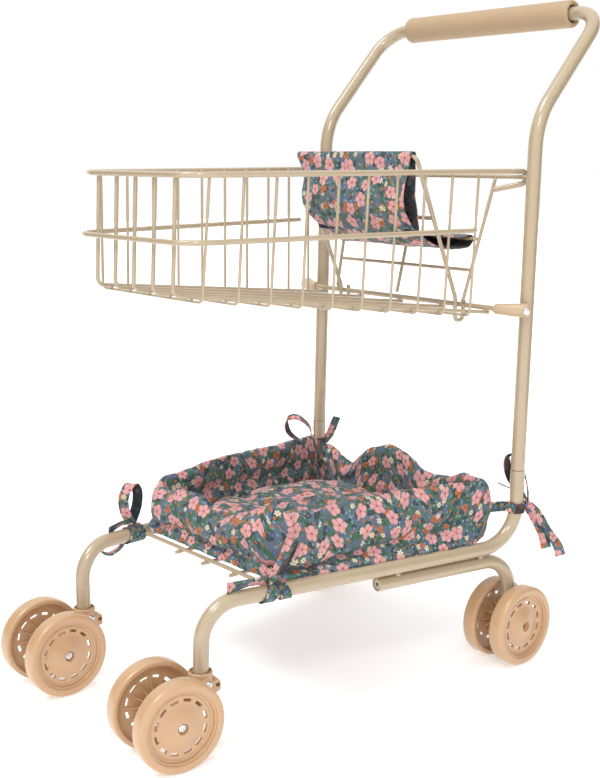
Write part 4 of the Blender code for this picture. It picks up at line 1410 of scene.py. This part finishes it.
def seat_sling():
    """Cloth hung over the seat's top bar: a short flap behind, the panel in front, and the
    seat that runs back to a hem round the rear panel's upper wire."""
    top_y, top_z = SEAT_TOP.y, SEAT_TOP.z
    over = SEAT_WIRE_R + 0.001
    wire_y = -0.0072
    # from the flap's low end to the rear hem: near edge, far edge, y, z
    profile = [(0.07, -0.056, -0.0618, 0.3765), (0.0705, -0.065, -0.0655, 0.398),
               (0.0705, -0.0705, -0.07, 0.42), (0.0705, -0.0705, -0.0722, 0.435),
               (0.0716, -0.0735, top_y + over, top_z + 0.0004),
               (0.0718, -0.0745, top_y, top_z + over),
               (0.0708, -0.0738, top_y - over, top_z + 0.0002),
               (0.0682, -0.069, -0.0792, 0.434), (0.0655, -0.0655, -0.0815, 0.42),
               (0.0645, -0.065, -0.0832, 0.4093), (0.0645, -0.0635, -0.0822, 0.398),
               (0.065, -0.06, -0.0765, 0.3872), (0.0655, -0.057, -0.0665, 0.3782),
               (0.067, -0.056, -0.049, 0.3707), (0.0715, -0.057, -0.03, 0.3668),
               (0.0755, -0.06, wire_y - 0.004, 0.3662),
               (0.0765, -0.062, wire_y + 0.0006, HEM_Z - 0.0029),
               (0.077, -0.063, wire_y + 0.003, HEM_Z),
               (0.0765, -0.063, wire_y, HEM_Z + 0.003),
               (0.075, -0.062, wire_y - 0.006, HEM_Z + 0.002),
               (0.073, -0.061, wire_y - 0.015, HEM_Z + 0.0014)]
    steps, top_knot, low_knot = 8, 5, 11
    near = spline([(x, y, z) for x, _, y, z in profile], steps)
    far = spline([(x, y, z) for _, x, y, z in profile], steps)
    runs = [math.hypot(b.y - a.y, b.z - a.z) for a, b in zip(near, near[1:])]
    near, spots, total = evenly(near, runs, SLING_ROWS, True)
    far, _, _ = evenly(far, runs, SLING_ROWS, True)
    over_bar, bottom = [float(sum(runs[:knot * steps])) for knot in (top_knot, low_knot)]
    rows, prints, held = [], [], []
    for k in range(SLING_ROWS):
        ahead = Vector(near[min(k + 1, SLING_ROWS - 1)] - near[max(k - 1, 0)])
        face = ALONG_X.cross(Vector((0, ahead.y, ahead.z)).normalized())
        hang = math.exp(-((spots[k] - bottom) / 0.03) ** 2)
        loose = min(1.0, abs(spots[k] - over_bar) / 0.012) * min(1.0, (total - spots[k]) / 0.032)
        row, row_print = [], []
        for j in range(SLING_COLUMNS):
            t = j / (SLING_COLUMNS - 1)
            point = Vector(far[k]).lerp(Vector(near[k]), t)
            pleat = 0.0016 * ripple((point.x * 2.4, spots[k] * 0.7, 0), 0.02, 3)
            pleat += 0.0007 * ripple((point.x, spots[k], 0), 0.007, 5)
            belly = 0.003 * hang * (1 - (2 * t - 1) ** 2)
            row.append(point + face * (pleat * loose - belly))
            row_print.append((point.x + 0.2, spots[k]))
        held += [1.0 if loose < 0.65 else 0.05] * SLING_COLUMNS
        rows.append(row)
        prints.append(row_print)
    made = fabric_piece("seat_sling_fine", woven("seat_sling_fine", rows, prints))
    drape(made, held, 0.0, 0.025, 14, 0.004, gravity=0.35, bending=0.6)
    thick = made.modifiers.new("cloth", "SOLIDIFY")
    thick.thickness = CLOTH_T
    thick.offset = 0.0
    # the shell's second face gets the darkened print: painted shade on the sling's inner side
    thick.material_offset = 1
    refine(made)
    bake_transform(made)
    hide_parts("seat_sling")


# ---- build ---------------------------------------------------------------------------------
camera()
studio()
PAINT = paint()
PLASTIC = plastic("peach_plastic", linear(199, 161, 123), 0.28, 0.38, 900.0, 0.35)
SOCKET = plastic("sand_plastic", linear(196, 170, 138), 0.32, 0.44, 900.0, 0.2)
GRIP_FOAM = plastic("grip_cover", linear(183, 157, 125), 0.62, 0.76, 1500.0)
STEEL = steel()
COTTON = print_cotton("printed_cotton")
# the print darkened towards charcoal: painted shade for the cloth's backs
PAINTED_SHADE_BACK = print_cotton("cotton_back_painted_shade", 0.86)
# near-black stand-in for the shade inside the tubes: painted shade
DARK = plastic("tube_shadow", linear(38, 30, 22), 0.85, 0.95, 400.0)
upper_tube()
lower_tubes()
rear_legs()
hand_grip()
cross_bars()
bar_sockets()
rim_and_ring()
basket_wires()
rear_panel()
seat_wires()
lower_rack()
for end, sign in SIDES.items():
    caster(end, sign)
    rear_wheels(end, sign)
tray_walls()
tray_cushion()
ribbons()
seat_sling()
